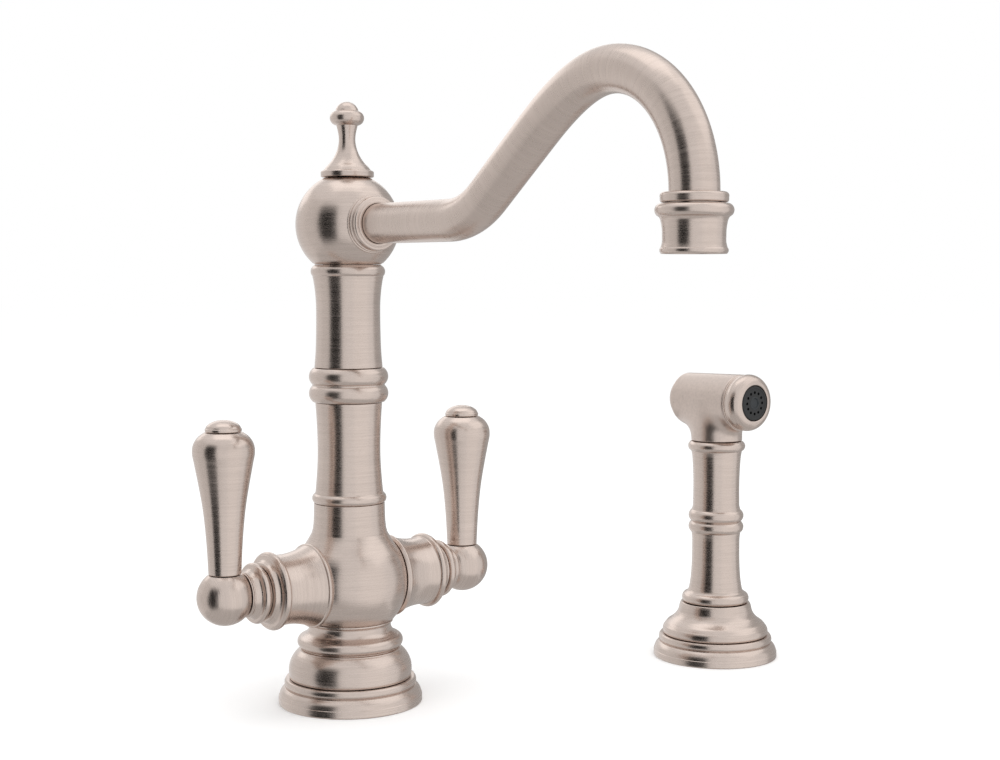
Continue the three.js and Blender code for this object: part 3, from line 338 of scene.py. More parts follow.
def swept(
    frames: list[Matrix], sizes: list[float], sides: int, closed: bool
) -> bmesh.types.BMesh:
    """Carries a ring along a row of frames, extruding it from each to the next.

    Args:
        frames: Where the ring goes, its axis along each frame's Z.
        sizes: The ring's radius at each frame.
        sides: Number of stretches round the ring.
        closed: Whether the last ring joins the first; otherwise both ends are capped.

    Returns:
        The mesh, in millimetres, with its vertices in order, ring after ring.
    """
    made = bmesh.new()
    ring = bmesh.ops.create_circle(
        made, cap_ends=False, segments=sides, radius=sizes[0], matrix=frames[0]
    )["verts"]
    first = edges = list({edge for vert in ring for edge in vert.link_edges})
    for i in range(1, len(frames)):
        grown = bmesh.ops.extrude_edge_only(made, edges=edges)["geom"]
        verts = [item for item in grown if isinstance(item, bmesh.types.BMVert)]
        new = set(verts)
        edges = [
            item
            for item in grown
            if isinstance(item, bmesh.types.BMEdge) and new.issuperset(item.verts)
        ]
        move = frames[i] @ Matrix.Scale(sizes[i] / sizes[i - 1], 4) @ frames[i - 1].inverted()
        bmesh.ops.transform(made, matrix=move, verts=verts)
    if closed:
        bmesh.ops.bridge_loops(made, edges=first + edges)
    else:
        for ends in (first, edges):
            bmesh.ops.edgeloop_fill(made, edges=ends)
    bmesh.ops.recalc_face_normals(made, faces=made.faces)
    return made


def to_object(name: str, made: bmesh.types.BMesh) -> bpy.types.Object:
    """Makes an object of a mesh that is in millimetres.

    Args:
        name: The object's name.
        made: The mesh, which is used up.

    Returns:
        The object, at the origin and with its place in its mesh.
    """
    bmesh.ops.scale(made, vec=(MM, MM, MM), verts=made.verts)
    mesh = bpy.data.meshes.new(name)
    made.to_mesh(mesh)
    made.free()
    piece = bpy.data.objects.new(name, mesh)
    bpy.context.scene.collection.objects.link(piece)
    smooth(piece)
    return piece


def smooth(piece: bpy.types.Object) -> None:
    """Shades a piece smooth, with its real edges kept crisp.

    Args:
        piece: The piece.
    """
    piece.data.polygons.foreach_set("use_smooth", [True] * len(piece.data.polygons))
    piece.data.set_sharp_from_angle(angle=SHARP_ANGLE)


def bake(piece: bpy.types.Object) -> bpy.types.Mesh:
    """Makes what a piece's modifiers show its real mesh.

    Args:
        piece: The piece.

    Returns:
        Its new mesh.
    """
    graph = bpy.context.evaluated_depsgraph_get()
    mesh = bpy.data.meshes.new_from_object(piece.evaluated_get(graph))
    piece.modifiers.clear()
    piece.data = mesh
    return mesh


def cut(
    piece: bpy.types.Object, tools: Iterable[bmesh.types.BMesh], operation: str = "DIFFERENCE"
) -> bpy.types.Object:
    """Cuts shapes out of a piece, or joins them to it.

    Args:
        piece: The piece that changes.
        tools: The shapes, in millimetres, which are used up.
        operation: Name of the Boolean operation.

    Returns:
        The same piece.
    """
    for made in tools:
        tool = to_object("tool", made)
        step = piece.modifiers.new("cut", "BOOLEAN")
        step.operation = operation
        step.solver = "EXACT"
        step.object = tool
        bake(piece)
        bpy.data.objects.remove(tool)
    smooth(piece)
    return piece


# ------------------------------------------------------------------------------------------------
# Shader maths and finishes
# ------------------------------------------------------------------------------------------------


class Graph:
    """A node tree, with methods that add its nodes."""

    def __init__(self, name: str, world: bool = False) -> None:
        """Makes an empty material or world.

        Args:
            name: Its name.
            world: Whether it is the surroundings instead of a material.
        """
        self.owner = (bpy.data.worlds if world else bpy.data.materials).new(name)
        self.owner.use_nodes = True
        self.tree = self.owner.node_tree
        self.tree.nodes.clear()

    def add(self, kind: str, settings: dict | None = None, **inputs: object) -> bpy.types.Node:
        """Adds a node.

        Args:
            kind: The node's type, without its leading ShaderNode.
            settings: Properties that are set first.
            **inputs: A value, a Number or a socket for each input, by the input's name with
                spaces as underscores, or by its index as i0, i1 and so on.

        Returns:
            The node.
        """
        node = self.tree.nodes.new("ShaderNode" + kind)
        for key, value in (settings or {}).items():
            setattr(node, key, value)
        for key, value in inputs.items():
            indexed = key[0] == "i" and key[1:].isdigit()
            socket = node.inputs[int(key[1:]) if indexed else key.replace("_", " ")]
            if isinstance(value, Number):
                value = value.socket
            if isinstance(value, bpy.types.NodeSocket):
                self.tree.links.new(value, socket)
            else:
                socket.default_value = value
        return node

    def place(self) -> bpy.types.NodeSocket:
        """Adds the coordinates in the frame, in metres."""
        return self.add("TexCoord").outputs["Object"]

    def noise(
        self,
        place: bpy.types.NodeSocket,
        stretch: Point | None = None,
        scale: float = 1.0,
        detail: float = 2.0,
        roughness: float = 0.5,
    ) -> "Number":
        """Adds a noise.

        Args:
            place: The coordinates it is laid on.
            stretch: Features a metre along each axis, where they differ.
            scale: Features a metre, times the stretch.
            detail: How many finer layers it has.
            roughness: How strong the finer layers are.

        Returns:
            The noise, from 0 to 1.
        """
        if stretch is not None:
            place = self.add("Mapping", Vector=place, Scale=stretch).outputs[0]
        node = self.add(
            "TexNoise", Vector=place, Scale=scale, Detail=detail, Roughness=roughness
        )
        return Number(self, node.outputs["Fac"])

    def tint(
        self, share: "Number", low: tuple[float, Colour], high: tuple[float, Colour]
    ) -> bpy.types.NodeSocket:
        """Blends from one colour to another.

        Args:
            share: The number that the blend follows.
            low: The number at which the blend starts, and its first colour.
            high: The number at which it ends, and its last colour.

        Returns:
            The colour.
        """
        node = self.add("ValToRGB", Fac=share)
        for element, (place, colour) in zip(node.color_ramp.elements, (low, high)):
            element.position = place
            element.color = colour + (1.0,)
        return node.outputs["Color"]

    def surface(
        self,
        colour: bpy.types.NodeSocket,
        metallic: float,
        roughness: "Number",
        bump: bpy.types.Node,
    ) -> bpy.types.Material:
        """Ends a material with its surface.

        Args:
            colour: Its colour.
            metallic: 1 for metal, 0 for anything else.
            roughness: Its roughness.
            bump: The bump node that gives its relief.

        Returns:
            The material.
        """
        shade = self.add(
            "BsdfPrincipled",
            Base_Color=colour,
            Metallic=metallic,
            Roughness=roughness,
            Normal=bump.outputs["Normal"],
        )
        self.add("OutputMaterial", Surface=shade.outputs[0])
        return self.owner


class Number:
    """A socket that holds a number, with the arithmetic that the finishes use."""

    def __init__(self, graph: Graph, socket: bpy.types.NodeSocket) -> None:
        """Wraps a socket.

        Args:
            graph: The tree it is in.
            socket: The socket.
        """
        self.graph = graph
        self.socket = socket

    def _math(self, operation: str, other: object) -> "Number":
        """Adds a Math node.

        Args:
            operation: Its operation.
            other: Its second value.

        Returns:
            The result.
        """
        node = self.graph.add("Math", {"operation": operation}, i0=self, i1=other)
        return Number(self.graph, node.outputs[0])

    def __add__(self, other: object) -> "Number":
        """Gives the sum."""
        return self._math("ADD", other)

    def __mul__(self, other: object) -> "Number":
        """Gives the product."""
        return self._math("MULTIPLY", other)

    def __sub__(self, other: object) -> "Number":
        """Gives the difference."""
        return self._math("SUBTRACT", other)

    def __abs__(self) -> "Number":
        """Gives the size without its sign."""
        return self._math("ABSOLUTE", 0.0)


def shaded(colour: Colour, share: float) -> Colour:
    """Makes a colour darker or lighter.

    Args:
        colour: The colour.
        share: How much of its light is left; more than 1 makes it lighter.

    Returns:
        The new colour.
    """
    red, green, blue = (channel * share for channel in colour)
    return (red, green, blue)


class Grain(Enum):
    """The way the fine brush lines of a metal piece run."""

    ROUND_Z = "round the vertical axis"
    ROUND_X = "round the handle axis"
    ROUND_Y = "round the spray head axis"
    ROUND_TUBE = "round the spout"
    ROUND_LEVER = "round a lever"
    ROUND_SPRAY = "round the spray handset"
    SATIN = "no direction"

    def stretch(self, long: float, fine: float) -> Point:
        """Gives the noise scale along each axis, in features a metre.

        Args:
            long: Scale along the brush lines.
            fine: Scale across them.

        Returns:
            The scale along X, Y and Z.
        """
        if self is Grain.SATIN:
            return (fine * 0.5, fine * 0.5, fine * 0.5)
        if self is Grain.ROUND_X:
            return (fine, long, long)
        if self is Grain.ROUND_Y:
            return (long, fine, long)
        return (long, long, fine)


@dataclass(frozen=True)
class BrushedNickel:
    """Warm nickel plate with fine brush lines."""

    grain: Grain
    colour: Colour = (0.672, 0.573, 0.52)
    roughness: float = 0.265
    depth: float = 0.17
    slot: str = "nickel"

    def material(self) -> bpy.types.Material:
        """Builds the material.

        Returns:
            The material.
        """
        graph = Graph(f"nickel {self.grain.name.lower()}")
        if self.grain is Grain.ROUND_TUBE:
            place = graph.add("Attribute", {"attribute_name": "straight"}).outputs["Vector"]
        else:
            place = graph.place()
        long = graph.noise(place, self.grain.stretch(38.0, 1300.0), detail=3.0, roughness=0.6)
        short = graph.noise(place, self.grain.stretch(320.0, 1900.0), detail=2.0, roughness=0.6)
        patch = graph.noise(place, scale=38.0, detail=2.0)
        line = long * 0.74 + short * 0.26
        relief = long * 0.94 + short * 0.06
        tint = graph.tint(
            line * 0.8 + patch * 0.2,
            (0.34, shaded(self.colour, 0.91)),
            (0.66, shaded(self.colour, 1.08)),
        )
        bump = graph.add("Bump", Strength=self.depth, Distance=0.00016, Height=relief)
        rough = line * 0.2 + patch * 0.06 + (self.roughness - 0.13)
        return graph.surface(tint, 1.0, rough, bump)


@dataclass(frozen=True)
class PlainMetal:
    """Machined metal that the nickel doesn't cover."""

    name: str
    slot: str
    colour: Colour
    roughness: float = 0.34

    def material(self) -> bpy.types.Material:
        """Builds the material.

        Returns:
            The material.
        """
        graph = Graph(self.name)
        place = graph.place()
        mark = graph.noise(place, (120.0, 120.0, 2200.0), detail=3.0)
        stain = graph.noise(place, scale=160.0, detail=4.0)
        tint = graph.tint(stain, (0.3, shaded(self.colour, 0.82)), (0.7, self.colour))
        bump = graph.add("Bump", Strength=0.25, Distance=0.00015, Height=mark)
        rough = mark * 0.14 + stain * 0.1 + (self.roughness - 0.12)
        return graph.surface(tint, 1.0, rough, bump)


@dataclass(frozen=True)
class Moulded:
    """Rubber, plastic or ceramic."""

    name: str
    slot: str
    colour: Colour
    roughness: float
    texture: float = 0.12

    def material(self) -> bpy.types.Material:
        """Builds the material.

        Returns:
            The material.
        """
        graph = Graph(self.name)
        place = graph.place()
        fleck = graph.noise(place, scale=2400.0, detail=2.0)
        wear = graph.noise(place, scale=90.0, detail=3.0)
        tint = graph.tint(
            fleck * 0.5 + wear * 0.5, (0.3, shaded(self.colour, 0.85)), (0.7, self.colour)
        )
        bump = graph.add("Bump", Strength=self.texture, Distance=0.0001, Height=fleck)
        rough = wear * 0.12 + (self.roughness - 0.06)
        return graph.surface(tint, 0.0, rough, bump)


class Palette:
    """Every finish of the faucet, each material built once."""

    def __init__(self) -> None:
        """Lists the finishes."""
        self.finishes: dict[str, BrushedNickel | PlainMetal | Moulded] = {
            **{grain.name: BrushedNickel(grain) for grain in Grain},
            Grain.SATIN.name: BrushedNickel(Grain.SATIN, roughness=0.315, depth=0.1),
            Grain.ROUND_TUBE.name: BrushedNickel(Grain.ROUND_TUBE, roughness=0.285, depth=0.08),
            "brass": PlainMetal("machined brass", "brass", (0.5, 0.35, 0.12)),
            "stainless": PlainMetal("stainless steel", "stainless", (0.52, 0.52, 0.51), 0.3),
            "rubber": Moulded("rubber", "rubber", (0.016, 0.016, 0.017), 0.78),
            "ceramic": Moulded("ceramic", "ceramic", (0.8, 0.78, 0.74), 0.3),
            "pale_plastic": Moulded("pale plastic", "pale_plastic", (0.66, 0.66, 0.63), 0.45),
            "dark_plastic": Moulded("dark plastic", "dark_plastic", (0.012, 0.0125, 0.0135), 0.5),
            "grey_plastic": Moulded(
                "blue grey plastic", "dark_plastic", (0.018, 0.022, 0.026), 0.45
            ),
        }
        self.built: dict[str, bpy.types.Material] = {}

    def material(self, finish: str) -> bpy.types.Material:
        """Gives a finish's material.

        Args:
            finish: The finish's name.

        Returns:
            Its material, built the first time it is asked for.
        """
        if finish not in self.built:
            self.built[finish] = self.finishes[finish].material()
        return self.built[finish]

    def slot(self, finish: str) -> str:
        """Gives the record's material slot of a finish."""
        return self.finishes[finish].slot


PALETTE = Palette()


def fit(
    piece: bpy.types.Object, finish: str | Grain, body: str, *nodes: str
) -> bpy.types.Object:
    """Gives a piece its material, and puts it in its node's place on its body.

    Args:
        piece: The piece.
        finish: Its finish's name, or the grain of its nickel.
        body: The body that it moves with.
        *nodes: The solids that it stands for.

    Returns:
        The same piece.
    """
    key = finish.name if isinstance(finish, Grain) else finish
    piece.data.materials.clear()
    piece.data.materials.append(PALETTE.material(key))
    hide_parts(*nodes)
    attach(piece, body)
    PALETTE.slot(key)
    LOG.info("%s: %d faces", piece.name, len(piece.data.polygons))
    return piece


def fit_turned(
    node: str,
    outline: Outline,
    grain: Grain,
    body: str,
    tools: Iterable[bmesh.types.BMesh] = (),
    **shape: object,
) -> bpy.types.Object:
    """Makes and fits a turned nickel piece.

    Args:
        node: The solid that it stands for, and its name before _turned.
        outline: Its profile.
        grain: The grain of its nickel.
        body: The body that it moves with.
        tools: What is cut out of it.
        **shape: The other arguments of turned.

    Returns:
        The piece.
    """
    piece = to_object(f"{node}_turned", turned(outline, **shape))
    return fit(cut(piece, tools), grain, body, node)


# ------------------------------------------------------------------------------------------------
# Column
# ------------------------------------------------------------------------------------------------


@dataclass
class DeckFoot:
    """A round foot flange, with a rim band and two tiers above it."""

    node: str
    at: Point
    rim_radius: float
    rim_height: float
    tier_radius: float
    tier_height: float
    top_radius: float
    height: float
    bore: float
    recess_radius: float
    recess: float = 1.8
    line: float = 0.3

    def outline(self) -> Outline:
        """Draws the profile.

        Returns:
            The outline.
        """
        rim, tier, line, low = self.rim_radius, self.tier_radius, self.line, self.rim_height
        made = Outline(self.bore, self.recess).to(self.recess_radius, self.recess)
        made.to(self.recess_radius, 0).to(rim - 0.6, 0).bow(rim, 0.9, 0.22, 6)
        made.to(rim, low - line).to(rim - line, low).to(rim - line, low + 0.25)
        made.bow(tier + 1.1, self.tier_height - 0.5, 0.38, 16)
        made.bow(tier, self.tier_height - 0.05, 0.2, 6).to(tier, self.tier_height + 0.15)
        made.bow(self.top_radius, self.height - 0.1, 0.72, 16)
        made.to(self.top_radius - 0.3, self.height)
        return made.to(self.bore, self.height)

    def build(self) -> bpy.types.Object:
        """Makes the flange.

        Returns:
            The piece.
        """
        outline = self.outline()
        return fit_turned(self.node, outline, Grain.ROUND_Z, "faucet_body", at=self.at)


@dataclass
class Column:
    """The foot, the pedestal, the ball-shaped valve body and the column's lengths above it."""

    bore: float = 8.6
    shank: float = 17.0
    pedestal: float = 12.9
    valve_body: float = 41.4
    handle_axis: float = 60.9
    ball: float = 28.9
    seat: float = 21.6
    cartridge_bore: float = 9.3
    cartridge_foot: float = 9.5
    port: float = 4.0
    side_port: float = 3.0
    inlet: float = 3.5
    inlet_offset: float = 11.5
    lower: float = 100.3
    coupling: float = 150.4
    upper: float = 167.4
    upper_top: float = 217.7
    body: str = "faucet_body"

    def foot(self) -> DeckFoot:
        """Sizes the foot flange.

        Returns:
            The foot.
        """
        return DeckFoot(
            node="foot_flange",
            at=(0.0, 0.0, 0.0),
            rim_radius=35.8,
            rim_height=3.9,
            tier_radius=32.2,
            tier_height=8.5,
            top_radius=32.1,
            height=12.6,
            bore=24.0,
            recess_radius=31.3,
        )

    def pedestal_outline(self) -> Outline:
        """Draws the bell-shaped pedestal with its bead and its flared neck.

        Returns:
            The outline.
        """
        bore = self.shank + 0.3
        made = Outline(bore, 0, self.pedestal).to(30.2, 0).bow(30.6, 2.9, 0.12, 8)
        made.bow(25.3, 14.1, 1.6, 24).to(25.2, 14.45).to(23.9, 14.7).to(23.9, 15.0)
        made.to(24.6, 15.25)
        made.bow(23.7, 21.2, 2.1, 20).to(23.3, 21.5)
        made.bow(20.3, 26.3, -0.9, 12).bow(21.3, 27.7, -0.2, 5)
        return made.to(21.3, 28.44).to(bore, 28.44)

    def valve_body_outline(self) -> Outline:
        """Draws the valve body: shank, ball, cove and collar, round the riser's socket.

        Returns:
            The outline.
        """
        base = self.valve_body
        foot = math.sqrt(self.ball**2 - (self.handle_axis - base) ** 2)
        made = Outline(0, 6.3).to(self.shank, 6.3).to(self.shank, base).to(foot - 0.3, base)
        made.to(foot, base + 0.3).ball(self.ball, self.handle_axis, base + 35.4, 56)
        made.through((22.1, base + 38.2), (20.2, base + 41.2), (18.75, base + 43.9))
        made.through((18.2, base + 46.2), (17.85, base + 49.2), (17.65, base + 53.4))
        made.to(17.55, base + 58.75).to(self.bore, base + 58.75)
        made.to(self.bore, base + 36.6).to(6.2, base + 36.6)
        return made.to(6.2, self.handle_axis - 4).to(0, self.handle_axis - 4)

    def lower_outline(self) -> Outline:
        """Draws the lower length of column, with its foot ring.

        Returns:
            The outline.
        """
        made = Outline(self.bore, 0, self.lower).to(17.35, 0).bow(17.1, 4.6, 1.2, 16)
        made.to(16.95, 4.9).to(16.75, 5.4)
        made.through(
            (16.0, 14), (15.58, 21.5), (15.5, 27), (15.62, 34), (16.0, 42.5), (16.5, 49.8),
        )
        return made.to(self.bore, 49.8)

    def coupling_outline(self) -> Outline:
        """Draws the twin rings between the two lengths of column.

        Returns:
            The outline.
        """
        made = Outline(self.bore, 0, self.coupling).to(17.6, 0).bow(17.95, 8.0, 1.8, 22)
        made.to(17.85, 8.35).to(17.95, 8.7)
        return made.bow(17.45, 16.7, 1.85, 22).to(self.bore, 16.7)

    def upper_outline(self) -> Outline:
        """Draws the upper length of column, with its waist and the bead under the hub.

        Returns:
            The outline.
        """
        base, top = self.upper, self.upper_top
        made = Outline(self.bore, base).to(16.8, base)
        made.through(
            (16.1, base + 9), (15.85, base + 17.5), (15.75, base + 25.5), (15.83, base + 32),
            (16.12, base + 36.2), (16.55, base + 40), (17.1, base + 43.4),
        )
        made.to(17.4, base + 44.6).to(17.35, base + 44.9)
        made.bow(16.9, top - 0.3, 1.15, 14).to(16.6, top).to(16.3, top).to(16.2, top + 0.25)
        made.to(12.8, top + 0.25).to(12.8, top - 12.7)
        return made.to(self.bore, top - 12.7)

    def build_valve_body(self) -> bpy.types.Object:
        """Makes the valve body, with a flat seat and a cartridge bore for each handle.

        Returns:
            The piece.
        """
        axis = (0, 0, self.handle_axis)
        tools = []
        for heading in (Heading.RIGHT, Heading.LEFT):
            tools.append(rod(40, self.seat, 60, heading, axis))
            tools.append(rod(self.cartridge_bore, self.cartridge_foot, 60, heading, axis))
            tools.append(rod(self.port, 1, self.cartridge_foot + 0.3, heading, axis))
        low, high = self.handle_axis - 4.65, self.handle_axis - 2
        for x in (-self.inlet_offset, self.inlet_offset):
            tools.append(rod(self.inlet, 0, low, Heading.UP, (x, 0, 0)))
        tools.append(rod(self.inlet, 0, high, Heading.UP, (0, self.inlet_offset, 0)))
        tools.append(rod(self.side_port, 1, self.inlet_offset, Heading.BACK, (0, 0, high)))
        outline = self.valve_body_outline()
        return fit_turned("valve_body", outline, Grain.ROUND_Z, self.body, tools, steps=144)

    def build(self) -> None:
        """Makes the pieces of the column."""
        self.foot().build()
        for node, outline in (
            ("pedestal", self.pedestal_outline()),
            ("lower_column", self.lower_outline()),
            ("twin_ring_coupling", self.coupling_outline()),
            ("upper_column", self.upper_outline()),
        ):
            fit_turned(node, outline, Grain.ROUND_Z, self.body)
        self.build_valve_body()


# ------------------------------------------------------------------------------------------------
# Hub and spout
# ------------------------------------------------------------------------------------------------


@dataclass
class BallHub:
    """The swivelling ball that the spout grows from, and the finial on it."""

    underside: float = 218.1
    centre: float = 237.5
    radius: float = 25.5
    top: float = 260.4
    spout_hole: float = 9.9
    finial_foot: float = 260.7
    body: str = "spout"

    def hub_outline(self) -> Outline:
        """Draws the ball, round the swivel spindle's chamber.

        Returns:
            The outline.
        """
        base, bore = self.underside, 9.4
        foot = math.sqrt(self.radius**2 - (self.centre - base) ** 2)
        made = Outline(foot - 0.3, base).to(foot, base + 0.3)
        made.ball(self.radius, self.centre, self.top, 64)
        made.to(bore, self.top).to(bore, base + 34.3).to(6.4, base + 34.3)
        made.to(6.4, base + 31.9).to(bore, base + 31.9).to(bore, base + 25)
        made.to(12.5, base + 25).to(12.5, base + 13.4).to(bore, base + 13.4)
        made.to(bore, base + 1.9).to(12.5, base + 1.9)
        return made.to(12.5, base)

    def finial_outline(self) -> Outline:
        """Draws the finial: flange, trumpet skirt, waist, knob and domed cap.

        Returns:
            The outline.
        """
        made = Outline(0, -4.1, self.finial_foot).to(9.1, -4.1).to(9.1, 0).to(12.6, 0)
        made.to(13.0, 0.4).to(13.0, 2.6).to(12.5, 3.1).to(11.7, 3.3)
        made.through(
            (10.3, 5.1), (8.85, 6.6), (7.6, 8.1), (6.6, 9.6), (5.75, 11.2), (5.0, 13.0),
            (4.4, 15.2), (4.02, 18.0), (4.1, 20.0), (4.5, 22.4), (5.2, 25.3),
        )
        made.bow(6.2, 32.1, 2.65, 26).to(5.65, 32.3)
        return made.bow(0, 36.75, 1.28, 16)

    def build(self) -> None:
        """Makes the hub and the finial."""
        hole = rod(self.spout_hole, 9, 60, Heading.FRONT, (0, 0, self.centre), 96)
        fit_turned("ball_hub", self.hub_outline(), Grain.ROUND_Z, self.body, [hole], steps=144)
        fit_turned("finial", self.finial_outline(), Grain.ROUND_Z, self.body)


@dataclass
class Spout:
    """The high curved spout, its collar on the ball, and the outlet with its aerator.

    Each ring of the insert's holes has their count, the ring's radius and the holes' radius.
    """

    axis: float = 237.5
    radius: float = 9.6
    bore: float = 8.3
    start: float = 13.0
    level_end: float = 86.0
    bend_radius: float = 46.0
    slope: float = math.radians(37.3)
    ramp: float = 42.8
    crown_run: float = 46.0
    crown_rise: float = 21.0
    ramp_handle: float = 22.0
    crown_handle: float = 14.0
    fall_reach: float = 46.9
    fall_drop: float = 50.0
    tail: float = 8.0
    room: float = 0.3
    collar_rise: float = 0.25
    collar_height: float = 3.9
    shell_drop: float = 4.2
    shell_height: float = 18.9
    insert_recess: float = 1.0
    insert_holes: tuple[tuple[int, float, float], ...] = (
        (1, 0.0, 1.3),
        (6, 3.2, 1.15),
        (12, 6.4, 1.2),
    )
    insert_height: float = 10.7
    bend_steps: int = 40
    crown_steps: int = 60
    fall_steps: int = 80
    step: float = 1.5
    sides: int = 72
    body: str = "spout"

    def path(self) -> list[Vector]:
        """Works out the centre line, as reach from the column and height above the deck.

        Returns:
            Closely spaced points.
        """
        line = [Vector((self.start, self.axis)), Vector((self.level_end, self.axis))]
        centre = Vector((self.level_end, self.axis + self.bend_radius))
        for i in range(1, self.bend_steps + 1):
            turn = self.slope * i / self.bend_steps - math.pi / 2
            line.append(centre + self.bend_radius * Vector((math.cos(turn), math.sin(turn))))
        uphill = Vector((math.cos(self.slope), math.sin(self.slope)))
        ramp = line[-1] + uphill * self.ramp
        crown = ramp + Vector((self.crown_run, self.crown_rise))
        first, second = ramp + uphill * self.ramp_handle, crown - Vector((self.crown_handle, 0))
        for i in range(self.crown_steps + 1):
            t = i / self.crown_steps
            line.append(
                ramp * (1 - t) ** 3
                + first * (3 * t * (1 - t) ** 2)
                + second * (3 * t**2 * (1 - t))
                + crown * t**3
            )
        for i in range(1, self.fall_steps + 1):
            turn = math.pi / 2 * (1 - i / self.fall_steps)
            reach, rise = self.fall_reach * math.cos(turn), self.fall_drop * (math.sin(turn) - 1)
            line.append(crown + Vector((reach, rise)))
        return line + [line[-1] - Vector((0, self.tail))]

    def stations(self) -> list[tuple[Vector, float]]:
        """Spaces the centre line out evenly.

        Returns:
            Points, each with its length along the line.
        """
        line = self.path()
        lengths = [0.0]
        for before, after in zip(line, line[1:]):
            lengths.append(lengths[-1] + (after - before).length)
        count = round(lengths[-1] / self.step)
        wanted = [lengths[-1] * i / count for i in range(count + 1)]
        reach = np.interp(wanted, lengths, [p.x for p in line])
        height = np.interp(wanted, lengths, [p.y for p in line])
        return [(Vector((r, h)), s) for r, h, s in zip(reach, height, wanted)]

    @property
    def outlet(self) -> Point:
        """The point on the deck under the outlet."""
        return (0.0, -self.path()[-1].x, 0.0)

    @property
    def clear(self) -> float:
        """Radius of a bore that goes round the tube."""
        return self.radius + self.room

    @property
    def collar_top(self) -> float:
        """Height of the top of the outlet's collar."""
        return self.path()[-1].y + self.tail + self.collar_rise

    @property
    def shell_foot(self) -> float:
        """Height of the lower end of the aerator's shell."""
        return self.collar_top - self.shell_drop - self.shell_height

    def tube(self) -> bpy.types.Object:
        """Draws a ring along the centre line, out along the wall and back along the bore.

        Returns:
            The tube, with its straightened coordinates in an attribute.
        """
        stations = self.stations()
        frames = []
        for i, (point, _length) in enumerate(stations):
            before = stations[max(0, i - 1)][0]
            after = stations[min(len(stations) - 1, i + 1)][0]
            along = (after - before).normalized()
            ahead = Vector((0, -along.x, along.y))
            side = Vector((1, 0, 0))
            turn = Matrix((side, ahead.cross(side), ahead)).transposed().to_4x4()
            frames.append(Matrix.Translation((0, -point.x, point.y)) @ turn)
        lengths = [length for _point, length in stations]
        there_and_back = frames + frames[::-1]
        sizes = [self.radius] * len(frames) + [self.bore] * len(frames)
        lengths += lengths[::-1]
        made = swept(there_and_back, sizes, self.sides, True)
        straight = made.verts.layers.float_vector.new("straight")
        backs = [frame.inverted() for frame in there_and_back]
        for i, vert in enumerate(made.verts):
            local = backs[i // self.sides] @ vert.co
            vert[straight] = Vector((local.x, local.y, lengths[i // self.sides])) * MM
        return to_object("spout_tube_bent", made)

    def collar_outline(self) -> Outline:
        """Draws the collar whose inner side follows the ball.

        Returns:
            The outline.
        """
        seat, hole, reach = 25.8, self.clear, 28.1
        made = Outline(hole, math.sqrt(seat**2 - hole**2))
        made.bow(14.0, math.sqrt(seat**2 - 14.0**2), -0.15, 8)
        made.bow(13.7, 22.6, 0.34, 8).to(13.1, 22.8).bow(13.35, 23.9, 0.4, 8).to(12.75, 24.1)
        made.bow(12.95, 25.2, 0.3, 8).bow(13.0, 26.4, 0.1, 6).bow(12.1, 27.5, 0.3, 8)
        made.to(11.3, 27.7)
        made.bow(10.3, reach, 0.12, 6).to(9.8, reach).to(9.8, reach - 0.25)
        made.to(hole + 1.7, reach - 0.25).to(hole + 1.7, reach - 1.9)
        return made.to(hole, reach - 1.9)

    def outlet_collar_outline(self) -> Outline:
        """Draws the collar on the end of the tube, over the aerator.

        Returns:
            The outline.
        """
        top, foot = self.collar_top, self.collar_top - self.collar_height
        made = Outline(self.clear, foot).to(12.45, foot).to(12.75, top - 3.5)
        made.bow(12.8, top - 2.2, 0.06, 5).bow(11.5, top - 0.1, 0.62, 10)
        return made.to(self.clear, top)

    def aerator_shell_outline(self) -> Outline:
        """Draws the shell of the aerator: a rolled lip, a waist and a shoulder.

        Returns:
            The outline.
        """
        top, low = self.collar_top - self.shell_drop, self.shell_foot
        made = Outline(self.clear, low).to(12.2, low).bow(12.75, low + 1.9, 0.32, 8)
        made.to(12.45, low + 2.3)
        made.through(
            (12.0, low + 4.0), (11.93, low + 7.0), (12.0, low + 9.3), (12.3, low + 11.3),
            (12.65, low + 12.8), (13.2, low + 13.8),
        )
        return made.bow(12.85, top - 0.15, 1.8, 20).to(self.clear, top)

    def build_insert(self) -> bpy.types.Object:
        """Makes the aerator's insert, a fine comb of ribs and rings behind the outlet.

        Returns:
            The piece.
        """
        low = self.shell_foot + self.insert_recess
        top = low + self.insert_height
        made = Outline(0, low + 0.5).to(8.9, low + 0.5).to(9.2, low).to(self.radius, low)
        made.to(self.radius, top).to(0, top)
        piece = to_object("aerator_insert_moulded", turned(made, at=self.outlet))
        tools = []
        for count, offset, size in self.insert_holes:
            for i in range(count):
                turn = 2 * math.pi * i / count
                x, y = offset * math.cos(turn), offset * math.sin(turn) + self.outlet[1]
                tools.append(rod(size, low - 5, low + 20, Heading.UP, (x, y, 0), 20))
        return fit(cut(piece, tools), "dark_plastic", self.body, "aerator_insert")

    def build(self) -> None:
        """Makes the pieces of the spout."""
        fit(self.tube(), Grain.ROUND_TUBE, self.body, "spout_tube")
        across = {"heading": Heading.FRONT, "at": (0, 0, self.axis)}
        fit_turned("spout_collar", self.collar_outline(), Grain.ROUND_Y, self.body, **across)
        for node, outline in (
            ("outlet_collar", self.outlet_collar_outline()),
            ("aerator_shell", self.aerator_shell_outline()),
        ):
            fit_turned(node, outline, Grain.ROUND_Z, self.body, at=self.outlet, soften=0.2)
        self.build_insert()


# ------------------------------------------------------------------------------------------------
# Handles
# ------------------------------------------------------------------------------------------------


class Side(Enum):
    """The side of the column that a handle is on."""

    LEFT = -1
    RIGHT = 1

    @property
    def heading(self) -> Heading:
        """The way out from the column."""
        return Heading.RIGHT if self is Side.RIGHT else Heading.LEFT

    @property
    def word(self) -> str:
        """The word that its node names start with."""
        return self.name.lower()


